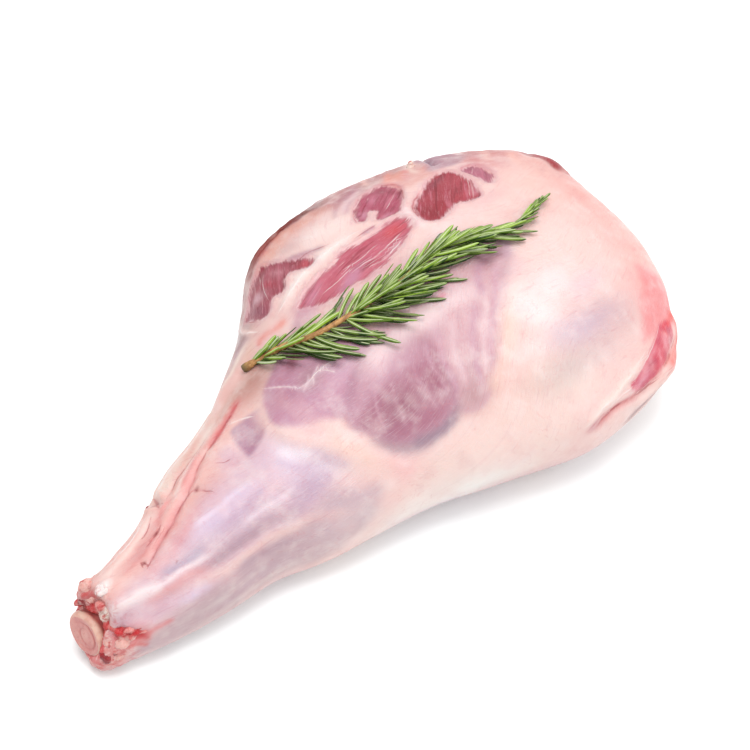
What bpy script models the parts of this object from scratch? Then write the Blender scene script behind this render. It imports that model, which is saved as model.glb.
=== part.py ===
"""Raw leg of lamb with its shank bone and a sprig of rosemary, lying on its flattened side.

Metres, +Z up. The leg lies along X, with the shank towards -X, the rump towards +X and the side
that carries the rosemary up. Every length below is in hundredths of LENGTH unless it says
otherwise, measured from the shank bone's tip, and the whole is then moved so that the middle
of its underside is the origin.
"""

import math

import bpy
import numpy as np
from mathutils import Vector
from mathutils.bvhtree import BVHTree

# Driving dimensions, in metres
LENGTH = 0.39  # unit of the outline: about from the shank bone's tip to the rump's far corner
FLOOR_GAP = 0.0004  # what one solid keeps clear of the next
UNIT = LENGTH / 100

# The leg's outline: distance along, near edge, far edge, height of the top, height of the widest
# level, how far the underside would sink if the floor let it
STATIONS = (
    (3.2, -6.9, 1.7, 10.6, 5.3, 0.0),
    (10.3, -9.7, 1.9, 11.3, 5.5, 0.2),
    (15.3, -11.1, 2.9, 11.9, 5.7, 0.2),
    (20.4, -11.9, 5.2, 12.6, 5.9, 0.2),
    (25.6, -12.5, 7.2, 13.5, 6.2, 0.3),
    (30.9, -14.4, 8.8, 14.6, 6.6, 0.5),
    (38.4, -16.6, 12.9, 16.4, 7.4, 0.7),
    (45.8, -18.7, 18.4, 18.2, 8.2, 0.9),
    (52.6, -21.5, 24.2, 19.8, 8.9, 1.1),
    (59.3, -24.1, 26.9, 20.7, 9.3, 1.3),
    (67.5, -27.0, 27.0, 21.1, 9.5, 1.4),
    (77.8, -28.0, 25.3, 21.1, 9.5, 1.4),
    (87.0, -28.6, 23.6, 20.8, 9.5, 1.4),
    (100.0, -25.0, 26.8, 19.4, 9.5, 1.4),
)
TOP_SQUARENESS = 2.15  # exponents of the cross-section: 2 is an ellipse, more is boxier
UNDERSIDE_SQUARENESS = 2.7

RIM_AT = 3.6  # where the flesh ends round the shank bone
RIM_ROUNDING = 1.8
RIM_SLANT = (0.16, 0.30)  # how far the end leans along X for each unit across, and for each up
RIM_SLANT_FADE = 14.0
RUMP_FROM = 64.0  # where the rump begins to close
RUMP_END = 97.2
RUMP_SQUARENESS = 3.0
RUMP_SLANT = 0.10  # the rump's end is cut on the slant, with its far corner the furthest out

# Muscles that swell under the membrane and the hollows between them: middle, then the half-sizes
# along, across and up, the turn about Z in degrees, and the height, negative for a hollow
SWELLS = (
    (47.0, -9.0, 16.0, 6.5, 6.0, 9.0, 10.0, 0.75),
    (39.5, -1.5, 15.5, 5.0, 5.0, 8.0, 20.0, 0.5),
    (52.0, -16.0, 12.0, 9.0, 3.0, 6.0, 25.0, -0.6),
    (27.0, -8.0, 10.5, 9.0, 4.5, 7.0, 4.0, 0.6),
    (33.0, 0.5, 14.0, 9.0, 2.4, 7.0, 30.0, -0.45),
    (20.0, 3.0, 11.5, 11.0, 2.2, 5.0, 22.0, 0.45),
    (74.0, -6.0, 21.0, 13.0, 12.0, 9.0, 0.0, 0.6),
    (88.0, -22.0, 10.0, 4.0, 4.0, 5.0, -60.0, -0.5),
)
# Ends of the tendons at the shank's cut end, pushed out along -X: middle, half-size, push
STUMPS = (
    (5.6, 0.2, 9.2, 2.6, 1.5),
    (4.0, -6.6, 3.0, 2.6, 0.7),
    (5.0, -6.4, 7.4, 2.6, -1.3),
    (4.6, -2.6, 8.4, 3.0, -1.5),
    (4.4, 1.4, 5.6, 2.2, -0.8),
)

COLUMNS = 60  # points round the leg
END_ROWS = 3  # rings on the cut end, inside its rounded rim
RIM_ROWS = 5
SHANK_ROWS = 26  # rings from the rim to where the rump begins to close
RUMP_ROWS = 21

# Shank bone, in metres except for its points
BONE_FACE = (2.7, -2.9, 5.2)  # middle of the bare end
BONE_INNER = (41.0, 0.6, 8.6)  # middle of the end inside the leg
BONE_FACE_NORMAL = (-0.88, -0.06, 0.40)
KNOB_RADIUS = 0.0107
KNOB_OVAL = 1.03  # the knob is this much wider one way than the other
KNOB_LENGTH = 0.020
SHAFT_RADIUS = 0.0072
SHOULDER = 0.0033
FACE_DISH = 0.0011
BONE_COLUMNS = 18

# Rosemary, in metres except for its path, which is in plan with the stem's cut end first
SPRIG_PATH = (
    (39.6, 9.1),
    (46.0, 4.4),
    (52.3, 2.7),
    (58.8, 1.9),
    (65.2, 2.5),
    (71.2, 2.0),
    (77.5, -0.7),
    (85.8, 0.4),
)
SPRIG_RISE = 0.0086  # thickness at its fullest
SPRIG_FAR = 0.0118  # how far the needles reach to either side of the stem at their fullest
SPRIG_NEAR = 0.0214
STEM_RADIUS = 0.0017
TUFTS = 10  # bunches of needles on each side
SPRIG_ROWS = 61
SPRIG_COLUMNS = 12

MEAT = (0.855, 0.640, 0.630, 1.0)
BONE = (0.780, 0.430, 0.370, 1.0)
ROSEMARY = (0.175, 0.260, 0.095, 1.0)


def smooth(column, at):
    """A station value at a distance along the leg, without overshoot between stations."""
    x = np.array([row[0] for row in STATIONS])
    y = np.array([row[column] for row in STATIONS])
    step = np.diff(x)
    slope = np.diff(y) / step
    tangent = np.concatenate([slope[:1], (slope[:-1] + slope[1:]) / 2, slope[-1:]])
    turning = np.concatenate([[False], slope[:-1] * slope[1:] <= 0, [False]])
    tangent[turning] = 0
    i = np.clip(np.searchsorted(x, at) - 1, 0, len(step) - 1)
    t = np.clip((at - x[i]) / step[i], 0, 1)
    return (
        y[i] * (2 * t**3 - 3 * t**2 + 1)
        + y[i + 1] * (3 * t**2 - 2 * t**3)
        + tangent[i] * step[i] * (t**3 - 2 * t**2 + t)
        + tangent[i + 1] * step[i] * (t**3 - t**2)
    )


def ease(t):
    """0 to 1 with level ends."""
    t = np.clip(t, 0, 1)
    return t * t * (3 - 2 * t)


def section(along, share=1.0):
    """One ring of points round the leg at a distance along it, shrunk to a share of its size."""
    near, far, top, widest, sink = (smooth(column, along) for column in range(1, 6))
    turn = np.linspace(0, 2 * math.pi, COLUMNS, endpoint=False)
    across, up = np.sin(turn), np.cos(turn)
    square = np.where(up > 0, TOP_SQUARENESS, UNDERSIDE_SQUARENESS)
    y = np.sign(across) * np.abs(across) ** (2 / square)
    z = np.sign(up) * np.abs(up) ** (2 / square)
    height = np.where(up > 0, top - widest, widest + sink)
    ring = np.zeros((COLUMNS, 3))
    ring[:, 1] = (near + far) / 2 + share * y * (far - near) / 2
    ring[:, 2] = widest + share * z * height
    ring[:, 0] = along
    rump = ease((along - RUMP_FROM) / (RUMP_END - RUMP_FROM))
    shank = 1 - ease((along - RIM_AT) / RIM_SLANT_FADE)
    ring[:, 0] += RUMP_SLANT * rump * (ring[:, 1] - (near + far) / 2)
    ring[:, 0] += shank * RIM_SLANT[0] * (ring[:, 1] - (near + far) / 2)
    ring[:, 0] += shank * RIM_SLANT[1] * (ring[:, 2] - widest)
    return ring


def leg_rings():
    """Rings from the middle of the cut shank end to the end of the rump."""
    rings = []
    for k in range(1, END_ROWS + 1):
        rings.append(section(RIM_AT, 0.72 * k / (END_ROWS + 0.5)))
    for k in range(RIM_ROWS + 1):
        turn = math.pi / 2 * k / RIM_ROWS
        rings.append(section(RIM_AT + RIM_ROUNDING * (1 - math.cos(turn)), 0.72 + 0.28 * math.sin(turn)))
    for along in np.linspace(RIM_AT + RIM_ROUNDING, RUMP_FROM, SHANK_ROWS + 1)[1:]:
        rings.append(section(along))
    for k in range(1, RUMP_ROWS):
        reach = math.sin(math.pi / 2 * k / RUMP_ROWS)
        share = (1 - reach**RUMP_SQUARENESS) ** (1 / RUMP_SQUARENESS)
        rings.append(section(RUMP_FROM + (RUMP_END - RUMP_FROM) * reach, share))
    return rings


def loft(rings, first, last):
    """Points and faces of a closed body: a tube through the rings, with a fan at each end."""
    count = len(rings[0])
    points = [point for ring in rings for point in ring] + [first, last]
    faces = []
    for r in range(len(rings) - 1):
        for c in range(count):
            d = (c + 1) % count
            faces.append((r * count + c, (r + 1) * count + c, (r + 1) * count + d, r * count + d))
    start = (len(rings) - 1) * count
    for c in range(count):
        d = (c + 1) % count
        faces.append((len(points) - 2, c, d))
        faces.append((len(points) - 1, start + d, start + c))
    return np.array(points, float), faces


def outward(points, faces):
    """A unit normal at each point."""
    normals = np.zeros_like(points)
    for size in (3, 4):
        chosen = np.array([face for face in faces if len(face) == size])
        a, b, c = (points[chosen[:, k]] for k in (0, 1, -1))
        turn = np.cross(b - a, c - a)
        for k in range(size):
            np.add.at(normals, chosen[:, k], turn)
    return normals / np.maximum(np.linalg.norm(normals, axis=1, keepdims=True), 1e-12)


def leg_shape():
    """The meat's points, in metres, and faces."""
    rings = leg_rings()
    points, faces = loft(rings, rings[0].mean(0), section(RUMP_END, 0.0)[0])
    normals = outward(points, faces)
    lift = np.zeros(len(points))
    for x, y, z, long, wide, deep, turned, height in SWELLS:
        off = points - (x, y, z)
        c, s = math.cos(math.radians(turned)), math.sin(math.radians(turned))
        along = (off[:, 0] * c + off[:, 1] * s) / long
        across = (off[:, 1] * c - off[:, 0] * s) / wide
        lift += height * np.exp(-(along**2) - across**2 - (off[:, 2] / deep) ** 2)
    points = points + normals * lift[:, None]
    for x, y, z, size, push in STUMPS:
        near = np.exp(-((points - (x, y, z)) ** 2).sum(1) / size**2)
        points[:, 0] -= push * near
    points[:, 2] = np.maximum(points[:, 2], 0)
    return points * UNIT, faces


def bone_shape(grow=0.0, lead=0.0):
    """The shank bone's points and faces, or with grow and lead those of the hole that holds it."""
    face = Vector(BONE_FACE) * UNIT
    inner = Vector(BONE_INNER) * UNIT
    shaft = (inner - face).normalized()
    normal = -Vector(BONE_FACE_NORMAL).normalized()
    reach = (inner - face).length
    profile = [(0.0, 0.55, 1.0), (0.0, 0.80, 1.0)]  # distance, share of the radius, knob or shaft
    for k in range(5):
        turn = math.pi / 2 * k / 4
        profile.append((SHOULDER * (1 - math.cos(turn)), 0.84 + 0.16 * math.sin(turn), 1.0))
    for k in range(1, 7):
        t = k / 6
        profile.append((SHOULDER + (KNOB_LENGTH - SHOULDER) * t, 1.0, 1.0 - float(ease(t))))
    for k in range(1, 9):
        profile.append((KNOB_LENGTH + (reach - KNOB_LENGTH - SHAFT_RADIUS) * k / 8, 1.0, 0.0))
    for k in range(1, 5):
        turn = math.pi / 2 * k / 4.6
        profile.append((reach - SHAFT_RADIUS * (1 - math.sin(turn)), math.cos(turn), 0.0))
    rings = []
    for n, (distance, share, knob) in enumerate(profile):
        lean = 1 - float(ease((distance - 0.001) / (KNOB_LENGTH * 1.4)))
        heading = (normal * lean + shaft * (1 - lean)).normalized()
        side = heading.cross(Vector((0, 0, 1))).normalized()
        rise = side.cross(heading)
        middle = face + (normal * lean + shaft * (1 - lean)) * distance
        radius = SHAFT_RADIUS + (KNOB_RADIUS - SHAFT_RADIUS) * knob
        oval = 1 + (KNOB_OVAL - 1) * knob
        dish = FACE_DISH if n == 0 and not grow else 0.0
        ring = []
        for c in range(BONE_COLUMNS):
            turn = 2 * math.pi * c / BONE_COLUMNS
            reach_out = radius * share + grow
            spot = middle + side * (reach_out * math.cos(turn) / oval) + rise * (reach_out * math.sin(turn) * oval)
            ring.append(spot + heading * dish)
        rings.append([tuple(spot) for spot in ring])
    front = face + normal * (FACE_DISH if not grow else 0.0)
    back = inner + shaft * grow
    if lead:
        ring = [Vector(spot) - normal * lead for spot in rings[6]]
        rings = [[tuple(spot) for spot in ring]] + rings[6:]
        front = face - normal * lead
    return loft([np.array(ring) for ring in rings], np.array(front), np.array(back))


def path_point(path, t):
    """A point of a smooth curve through the path's points, at a share of its length."""
    points = np.array(path, float)
    at = t * (len(points) - 1)
    i = int(min(at, len(points) - 2))
    f = at - i
    before = points[i - 1] if i else 2 * points[0] - points[1]
    after = points[i + 2] if i + 2 < len(points) else 2 * points[-1] - points[-2]
    a, b = points[i], points[i + 1]
    return 0.5 * (
        2 * a
        + (b - before) * f
        + (2 * before - 5 * a + 4 * b - after) * f**2
        + (3 * a - before - 3 * b + after) * f**3
    )


def sprig_shape(surface):
    """The rosemary's points and faces, draped on the leg."""
    middles = []
    for k in range(SPRIG_ROWS):
        x, y = path_point(SPRIG_PATH, k / (SPRIG_ROWS - 1)) * UNIT
        middles.append(surface.ray_cast(Vector((x, y, 1.0)), Vector((0, 0, -1)))[0])
    up = []
    for k in range(SPRIG_ROWS):
        total = Vector((0, 0, 0))
        for near in range(max(k - 4, 0), min(k + 5, SPRIG_ROWS)):
            total += surface.find_nearest(middles[near])[1]
        up.append(total.normalized())
    rings = []
    for k in range(SPRIG_ROWS):
        t = k / (SPRIG_ROWS - 1)
        ahead = middles[min(k + 1, SPRIG_ROWS - 1)] - middles[max(k - 1, 0)]
        far_side = up[k].cross(ahead).normalized()
        full = float(ease((t - 0.035) / 0.10)) * (1 - 0.80 * float(ease((t - 0.62) / 0.36)))
        ring = []
        for c in range(SPRIG_COLUMNS):
            turn = -2 * math.pi * c / SPRIG_COLUMNS
            far = math.cos(turn) > 0
            tuft = (t * TUFTS + (0.0 if far else 0.47)) % 1.0
            fringe = 0.62 + 0.38 * tuft**0.8
            wide = STEM_RADIUS + full * fringe * ((SPRIG_FAR if far else SPRIG_NEAR) - STEM_RADIUS)
            tall = 2 * STEM_RADIUS + full * (SPRIG_RISE - 2 * STEM_RADIUS) * (0.85 + 0.15 * math.sin(19 * t))
            u = wide * math.cos(turn)
            v = tall * (0.42 + 0.58 * math.sin(turn)) if math.sin(turn) > 0 else tall * 0.42 * (1 + math.sin(turn))
            above = middles[k] + far_side * u + up[k] * 0.05
            hit = surface.ray_cast(above, -up[k])[0] or middles[k] + far_side * u
            ring.append(tuple(hit + up[k] * (2.5 * FLOOR_GAP + v)))
        rings.append(np.array(ring))
    return loft(rings, rings[0].mean(0), rings[-1].mean(0))


def material(name, color, roughness):
    """A Principled material of one colour."""
    made = bpy.data.materials.new(name)
    made.use_nodes = True
    shader = made.node_tree.nodes["Principled BSDF"]
    shader.inputs["Base Color"].default_value = color
    shader.inputs["Roughness"].default_value = roughness
    made.diffuse_color = color
    return made


def solid(name, shape, parent, look=None):
    """An object made of points and faces, under a parent."""
    points, faces = shape
    mesh = bpy.data.meshes.new(name)
    mesh.from_pydata([tuple(point) for point in points], [], faces)
    mesh.update()
    mesh.shade_smooth()
    made = bpy.data.objects.new(name, mesh)
    bpy.context.scene.collection.objects.link(made)
    made.parent = parent
    if look:
        mesh.materials.append(look)
    return made


def main():
    for old in list(bpy.data.objects):
        bpy.data.objects.remove(old)
    whole = bpy.data.objects.new("leg_of_lamb", None)
    bpy.context.scene.collection.objects.link(whole)

    leg_points, leg_faces = leg_shape()
    surface = BVHTree.FromPolygons([tuple(point) for point in leg_points], leg_faces)
    leg = solid("leg", (leg_points, leg_faces), whole, material("meat", MEAT, 0.42))
    bone = solid("shank_bone", bone_shape(), whole, material("bone", BONE, 0.45))
    sprig = solid("rosemary_sprig", sprig_shape(surface), whole, material("rosemary", ROSEMARY, 0.55))

    hole = solid("shank_bone_hole", bone_shape(FLOOR_GAP, 0.02), whole)
    hole.hide_render = True
    hole.display_type = "WIRE"
    cut = leg.modifiers.new("bone hole", "BOOLEAN")
    cut.operation = "DIFFERENCE"
    cut.solver = "EXACT"
    cut.object = hole

    corners = [vertex.co for made in (leg, bone, sprig) for vertex in made.data.vertices]
    low = Vector([min(corner[axis] for corner in corners) for axis in range(3)])
    high = Vector([max(corner[axis] for corner in corners) for axis in range(3)])
    middle = (low + high) / 2
    whole.location = (-middle.x, -middle.y, -low.z)


main()
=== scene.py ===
"""Raw leg of lamb with a sprig of rosemary: the looks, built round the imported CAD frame.

Lengths named in hundredths are hundredths of the leg's own layout length: U metres each. Places
on the meat are given as (along, round): along counts from a point just off the shank's bare end,
round is the distance over the surface from the crest line, positive towards +Y.
"""

import math

import bmesh
import bpy
import numpy as np
from mathutils import Matrix, Vector
from mathutils.bvhtree import BVHTree


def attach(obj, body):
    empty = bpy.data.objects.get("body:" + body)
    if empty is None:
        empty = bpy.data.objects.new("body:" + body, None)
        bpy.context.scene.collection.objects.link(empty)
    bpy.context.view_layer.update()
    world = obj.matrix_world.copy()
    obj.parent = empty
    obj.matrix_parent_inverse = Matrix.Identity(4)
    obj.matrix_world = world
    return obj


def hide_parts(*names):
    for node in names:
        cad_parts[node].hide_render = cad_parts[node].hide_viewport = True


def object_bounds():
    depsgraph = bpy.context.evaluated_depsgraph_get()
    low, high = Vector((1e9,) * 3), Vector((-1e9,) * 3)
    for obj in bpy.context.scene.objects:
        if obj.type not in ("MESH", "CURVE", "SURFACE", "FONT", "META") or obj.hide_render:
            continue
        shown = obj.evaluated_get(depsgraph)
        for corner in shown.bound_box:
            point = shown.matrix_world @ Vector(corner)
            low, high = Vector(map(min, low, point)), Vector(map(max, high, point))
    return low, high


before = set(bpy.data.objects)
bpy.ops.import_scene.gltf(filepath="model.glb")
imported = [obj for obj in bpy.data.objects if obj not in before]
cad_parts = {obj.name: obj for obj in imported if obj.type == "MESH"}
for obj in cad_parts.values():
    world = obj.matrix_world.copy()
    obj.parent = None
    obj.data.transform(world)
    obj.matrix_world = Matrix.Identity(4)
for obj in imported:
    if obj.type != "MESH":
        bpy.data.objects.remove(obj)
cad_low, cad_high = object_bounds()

LOW, HIGH = np.array(cad_low), np.array(cad_high)
U = (HIGH[0] - LOW[0]) / 96.0  # one hundredth of the layout length, about 3.9 mm
X0 = LOW[0] - 1.7 * U  # where along is 0
Y0 = (LOW[1] + HIGH[1]) / 2 + 0.18 * U  # where across is 0


def ease(t):
    """0 to 1 with level ends."""
    t = np.clip(t, 0.0, 1.0)
    return t * t * (3 - 2 * t)


# ---------------------------------------------------------------- noise

def lattice(cell, seed):
    """A repeatable value from 0 to 1 for each whole-numbered cell."""
    c = cell.astype(np.int64)
    h = c[..., 0] * 374761393 + c[..., 1] * 668265263 + c[..., 2] * 2147483647 + seed * 974634777
    h = (h ^ (h >> 13)) * 1274126177
    h = h ^ (h >> 16)
    return (h & 0xFFFFFF) / float(0xFFFFFF)


def noise(place, size, seed=0, octaves=1, rough=0.5):
    """Smooth noise from -1 to 1 whose blobs are about size across."""
    total, scale, weight = 0.0, 1.0 / size, 1.0
    norm = 0.0
    for k in range(octaves):
        p = place * scale + 17.3 * (seed + 1) + 5.1 * k
        cell = np.floor(p)
        f = p - cell
        f = f * f * (3 - 2 * f)
        value = 0.0
        for dx in (0, 1):
            for dy in (0, 1):
                for dz in (0, 1):
                    w = (
                        (f[..., 0] if dx else 1 - f[..., 0])
                        * (f[..., 1] if dy else 1 - f[..., 1])
                        * (f[..., 2] if dz else 1 - f[..., 2])
                    )
                    value = value + w * lattice(cell + np.array([dx, dy, dz]), seed + 31 * k)
        total = total + weight * (2 * value - 1)
        norm += weight
        scale *= 2.03
        weight *= rough
    return total / norm


# ---------------------------------------------------------------- the meat's skin

COLUMNS = 312
MOUTH_ROWS = 4  # rows that dive into the gap round the bone
TIP_ROWS = 50
BODY_ROWS = 168
RUMP_ROWS = 90
TIP_CENTRE = 12.0  # along: where the shank's rounded end is centred
RUMP_CENTRE = 73.0

cad_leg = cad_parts["leg"]
cad_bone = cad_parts["shank_bone"]


def tree_of(node):
    """A ray-casting tree of a CAD node's mesh, and its corners."""
    mesh = node.data
    corners = np.zeros(len(mesh.vertices) * 3)
    mesh.vertices.foreach_get("co", corners)
    corners = corners.reshape(-1, 3)
    faces = [tuple(face.vertices) for face in mesh.polygons]
    return BVHTree.FromPolygons([tuple(c) for c in corners], faces), corners


leg_tree, leg_corners = tree_of(cad_leg)
bone_tree, bone_corners = tree_of(cad_bone)

# The bone's straight axis, from its inner end to its bare face
inner_end = bone_corners[bone_corners[:, 0] > bone_corners[:, 0].max() - 1.0 * U].mean(0)
outer_end = bone_corners[bone_corners[:, 0] < bone_corners[:, 0].min() + 2.2 * U].mean(0)
bone_axis = (inner_end - outer_end) / np.linalg.norm(inner_end - outer_end)
knob = bone_corners[bone_corners[:, 0] < bone_corners[:, 0].min() + 2.6 * U]
KNOB_RADIUS = float(np.linalg.norm(np.cross(knob - outer_end, bone_axis), axis=1).max())
KNOB_LONG, KNOB_SHORT = 1.06, 0.72  # half breadths of the sawn end in knob radii
KNOB_TURN = math.radians(10.6)


def frame_of(direction, up=(0, 0, 1)):
    """Two unit vectors square to a direction: sideways and up."""
    d = np.array(direction, float)
    d /= np.linalg.norm(d)
    side = np.cross(np.array(up, float), d)
    side /= np.linalg.norm(side)
    return d, side, np.cross(d, side)


def off_bone(spots):
    """Distance from the bone's axis as a multiple of its oval outline there."""
    _, side, up = frame_of(bone_axis)
    x, y = (spots - outer_end) @ side / KNOB_RADIUS, (spots - outer_end) @ up / KNOB_RADIUS
    c, s = math.cos(KNOB_TURN), math.sin(KNOB_TURN)
    return np.hypot((x * c + y * s) / KNOB_LONG, (y * c - x * s) / KNOB_SHORT)


def hit(start, heading):
    """Where a ray first meets the CAD leg, or None."""
    return leg_tree.ray_cast(Vector(start), Vector(heading))[0]


def spine(along):
    """Middle of the leg's cross-section at a distance along it."""
    x = X0 + along * U
    z = U * (5.2 + 4.0 * ease((along - 12) / 45.0))
    far = hit((x, Y0 + 40 * U, z), (0, -1, 0))
    near = hit((x, Y0 - 40 * U, z), (0, 1, 0))
    return np.array([x, (far.y + near.y) / 2, z])


def ring_shot(origin, tilt, turn):
    """The CAD leg's outer surface seen from a point on the spine, or None."""
    out = np.array([-math.cos(tilt), math.sin(tilt) * math.sin(turn), math.sin(tilt) * math.cos(turn)])
    found = hit(origin + out * 90 * U, -out)
    return None if found is None else np.array(found)


def even_turns(origin, tilt):
    """Angles round the spine that space the points evenly, closer on the side that shows."""
    coarse = np.linspace(0, 2 * math.pi, 145)
    spots = np.array([ring_shot(origin, tilt, turn) for turn in coarse])
    step = np.linalg.norm(np.diff(spots, axis=0), axis=1)
    low = (spots[1:, 2] + spots[:-1, 2]) / 2 < 0.4 * U
    step = step * np.where(low, 0.30, 1.0) + 1e-6
    reach = np.concatenate([[0], np.cumsum(step)])
    return np.interp(np.linspace(0, reach[-1], COLUMNS + 1)[:-1], reach, coarse)


def skin_grid():
    """Rows of points over the meat, from inside the gap round the bone to the rump's end."""
    rows = []
    tip = spine(TIP_CENTRE)
    side_turns = even_turns(tip, math.pi / 2)
    mouth = []
    for turn in side_turns:
        low, high = 0.02, math.pi / 2
        for _ in range(12):
            tilt = (low + high) / 2
            spot = ring_shot(tip, tilt, turn)
            if off_bone(spot) < 1.10 and spot[0] < X0 + 20 * U:
                low = tilt
            else:
                high = tilt
        mouth.append(high)
    mouth = np.array(mouth)
    kernel = np.hanning(15)
    mouth = np.convolve(np.concatenate([mouth[-7:], mouth, mouth[:7]]), kernel / kernel.sum(), "valid")
    rim = np.stack([np.cos(side_turns), np.sin(side_turns), 0 * side_turns], 1)
    mouth = mouth + 0.05 * noise(rim, 0.22, 71, 3, 0.6)
    for k in range(TIP_ROWS):
        t = k / TIP_ROWS
        tilts = mouth + 0.02 + (math.pi / 2 - mouth - 0.02) * t**1.15
        rows.append([ring_shot(tip, tilt, turn) for tilt, turn in zip(tilts, side_turns)])
    first = np.array(rows[0])
    lip = []
    for k in range(MOUTH_ROWS, 0, -1):
        base = outer_end + np.outer((first - outer_end) @ bone_axis, bone_axis)
        shrink = np.minimum(1.0, 0.92 / off_bone(first))[:, None]
        t = k / MOUTH_ROWS
        lip.append(base + (first - base) * (1 - t + t * shrink) + bone_axis * (1.0 * U * t * t))
    rows = lip + rows
    for k in range(BODY_ROWS + 1):
        origin = spine(TIP_CENTRE + (RUMP_CENTRE - TIP_CENTRE) * k / BODY_ROWS)
        turns = even_turns(origin, math.pi / 2)
        rows.append([ring_shot(origin, math.pi / 2, turn) for turn in turns])
    rump = spine(RUMP_CENTRE)
    turns = even_turns(rump, math.pi / 2)
    for k in range(1, RUMP_ROWS):
        tilt = math.pi / 2 * (1 + k / RUMP_ROWS)
        rows.append([ring_shot(rump, tilt, turn) for turn in turns])
    return np.array(rows, float)


def soften(grid, across, along):
    """The grid with facets smoothed away: a moving average round and along it."""
    out = grid.copy()
    for shift in range(1, across + 1):
        weight = math.exp(-2.0 * (shift / across) ** 2)
        out = out + weight * (np.roll(grid, shift, 1) + np.roll(grid, -shift, 1))
    out /= 1 + 2 * sum(math.exp(-2.0 * (s / across) ** 2) for s in range(1, across + 1))
    n = len(grid)
    index = np.arange(n)
    total, norm = out.copy(), np.ones((n, 1, 1))
    for shift in range(1, along + 1):
        weight = math.exp(-2.0 * (shift / along) ** 2)
        for at in (index - shift, index + shift):
            ok = ((at >= MOUTH_ROWS) & (at < n) & (index >= MOUTH_ROWS)).astype(float)[:, None, None]
            total += weight * ok * out[np.clip(at, 0, n - 1)]
            norm += weight * ok
    return total / norm


def grid_normals(grid):
    """Unit normals of the grid's points, pointing out."""
    along = np.gradient(grid, axis=0)
    round_ = (np.roll(grid, -1, 1) - np.roll(grid, 1, 1)) / 2
    normal = np.cross(along, round_)
    return normal / np.maximum(np.linalg.norm(normal, axis=2, keepdims=True), 1e-12)


skin = skin_grid()
skin = soften(skin, 7, 5)
skin[..., 2] = np.maximum(skin[..., 2], 0.0)
ALONG = (skin[..., 0] - X0) / U
steps = np.linalg.norm(np.roll(skin, -1, 1) - skin, axis=2)
ROUND = np.concatenate([np.zeros((len(skin), 1)), np.cumsum(steps, 1)[:, :-1]], 1)
whole_way = steps.sum(1, keepdims=True)
ROUND = np.where(ROUND > whole_way / 2, ROUND - whole_way, ROUND) / U
normals = grid_normals(skin)


# ---------------------------------------------------------------- drawing on the skin

wander = noise(skin / U, 6.0, 3, 2)
WU = ALONG + 0.55 * wander + 0.22 * noise(skin / U, 1.7, 5, 2)
WV = ROUND + 0.55 * noise(skin / U, 6.0, 4, 2) + 0.22 * noise(skin / U, 1.7, 6, 2)
UPPER = ease((normals[..., 2] + 0.55) / 0.5)  # 1 on the side that shows, 0 underneath


def smooth_path(points, closed=False, parts=6):
    """A Catmull-Rom curve through a few points."""
    p = np.array(points, float)
    n = len(p)
    out = []
    for i in range(n if closed else n - 1):
        if closed:
            a, b, c, d = p[(i - 1) % n], p[i], p[(i + 1) % n], p[(i + 2) % n]
        else:
            a, b, c, d = p[max(i - 1, 0)], p[i], p[i + 1], p[min(i + 2, n - 1)]
        for k in range(parts):
            t = k / parts
            out.append(
                0.5 * (2 * b + (c - a) * t + (2 * a - 5 * b + 4 * c - d) * t * t
                       + (3 * b - a - 3 * c + d) * t**3)
            )
    if not closed:
        out.append(p[-1])
    return np.array(out)


def reach_of(points, margin):
    """The grid points near a path: a mask, and their warped places."""
    low, high = points.min(0) - margin, points.max(0) + margin
    near = (WU > low[0]) & (WU < high[0]) & (WV > low[1]) & (WV < high[1])
    return near, WU[near], WV[near]


def distances(path, margin=6.0):
    """Distance to a path in hundredths, how far along it (0 to 1), and the side (+1 left)."""
    near, x, y = reach_of(path, margin)
    best = np.full(x.shape, 99.0)
    where = np.zeros(x.shape)
    side = np.ones(x.shape)
    n = len(path) - 1
    for k in range(n):
        a, d = path[k], path[k + 1] - path[k]
        t = np.clip(((x - a[0]) * d[0] + (y - a[1]) * d[1]) / max(d @ d, 1e-9), 0, 1)
        dist = np.hypot(x - a[0] - t * d[0], y - a[1] - t * d[1])
        closer = dist < best
        best = np.where(closer, dist, best)
        where = np.where(closer, (k + t) / n, where)
        turn = np.where(d[0] * (y - a[1]) - d[1] * (x - a[0]) >= 0, 1.0, -1.0)
        side = np.where(closer, turn, side)
    full, at, hand = np.full(WU.shape, 99.0), np.zeros(WU.shape), np.ones(WU.shape)
    full[near], at[near], hand[near] = best, where, side
    return full, at, hand


def outline(points, margin=6.0):
    """Signed distance to a closed outline, positive inside."""
    path = smooth_path(points, True)
    path = np.vstack([path, path[:1]])
    dist, _, _ = distances(path, margin)
    near, x, y = reach_of(path, margin)
    within = np.zeros(x.shape, bool)
    for (ax, ay), (bx, by) in zip(path[:-1], path[1:]):
        crosses = (ay > y) != (by > y)
        cut = ax + (y - ay) * (bx - ax) / (by - ay if by != ay else 1e-9)
        within ^= crosses & (x < cut)
    full = -dist
    full[near] = np.where(within, dist[near], -dist[near])
    return full


def patch(points, soft=1.0):
    """A filled outline as a mask from 0 to 1 with a soft edge."""
    return ease(outline(points) / soft + 0.5)


def blot(along, round_, long_, wide, turn=0.0):
    """A soft oval stain: 1 in the middle, fading out at its rim."""
    c, s = math.cos(math.radians(turn)), math.sin(math.radians(turn))
    a = ((WU - along) * c + (WV - round_) * s) / long_
    b = (-(WU - along) * s + (WV - round_) * c) / wide
    return np.exp(-1.6 * (a * a + b * b) ** 1.15)


def stroke(points, width, fade=0.25):
    """A line with tapered ends as a mask; width is half its breadth."""
    dist, at, _ = distances(smooth_path(points), 5 * width + 1)
    taper = ease(at / fade) * ease((1 - at) / fade) if fade else 1.0
    return np.exp(-((dist / width) ** 2)) * taper


SHARE = 0.665  # the studio's light at the top of the leg is a little stronger than white


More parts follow.
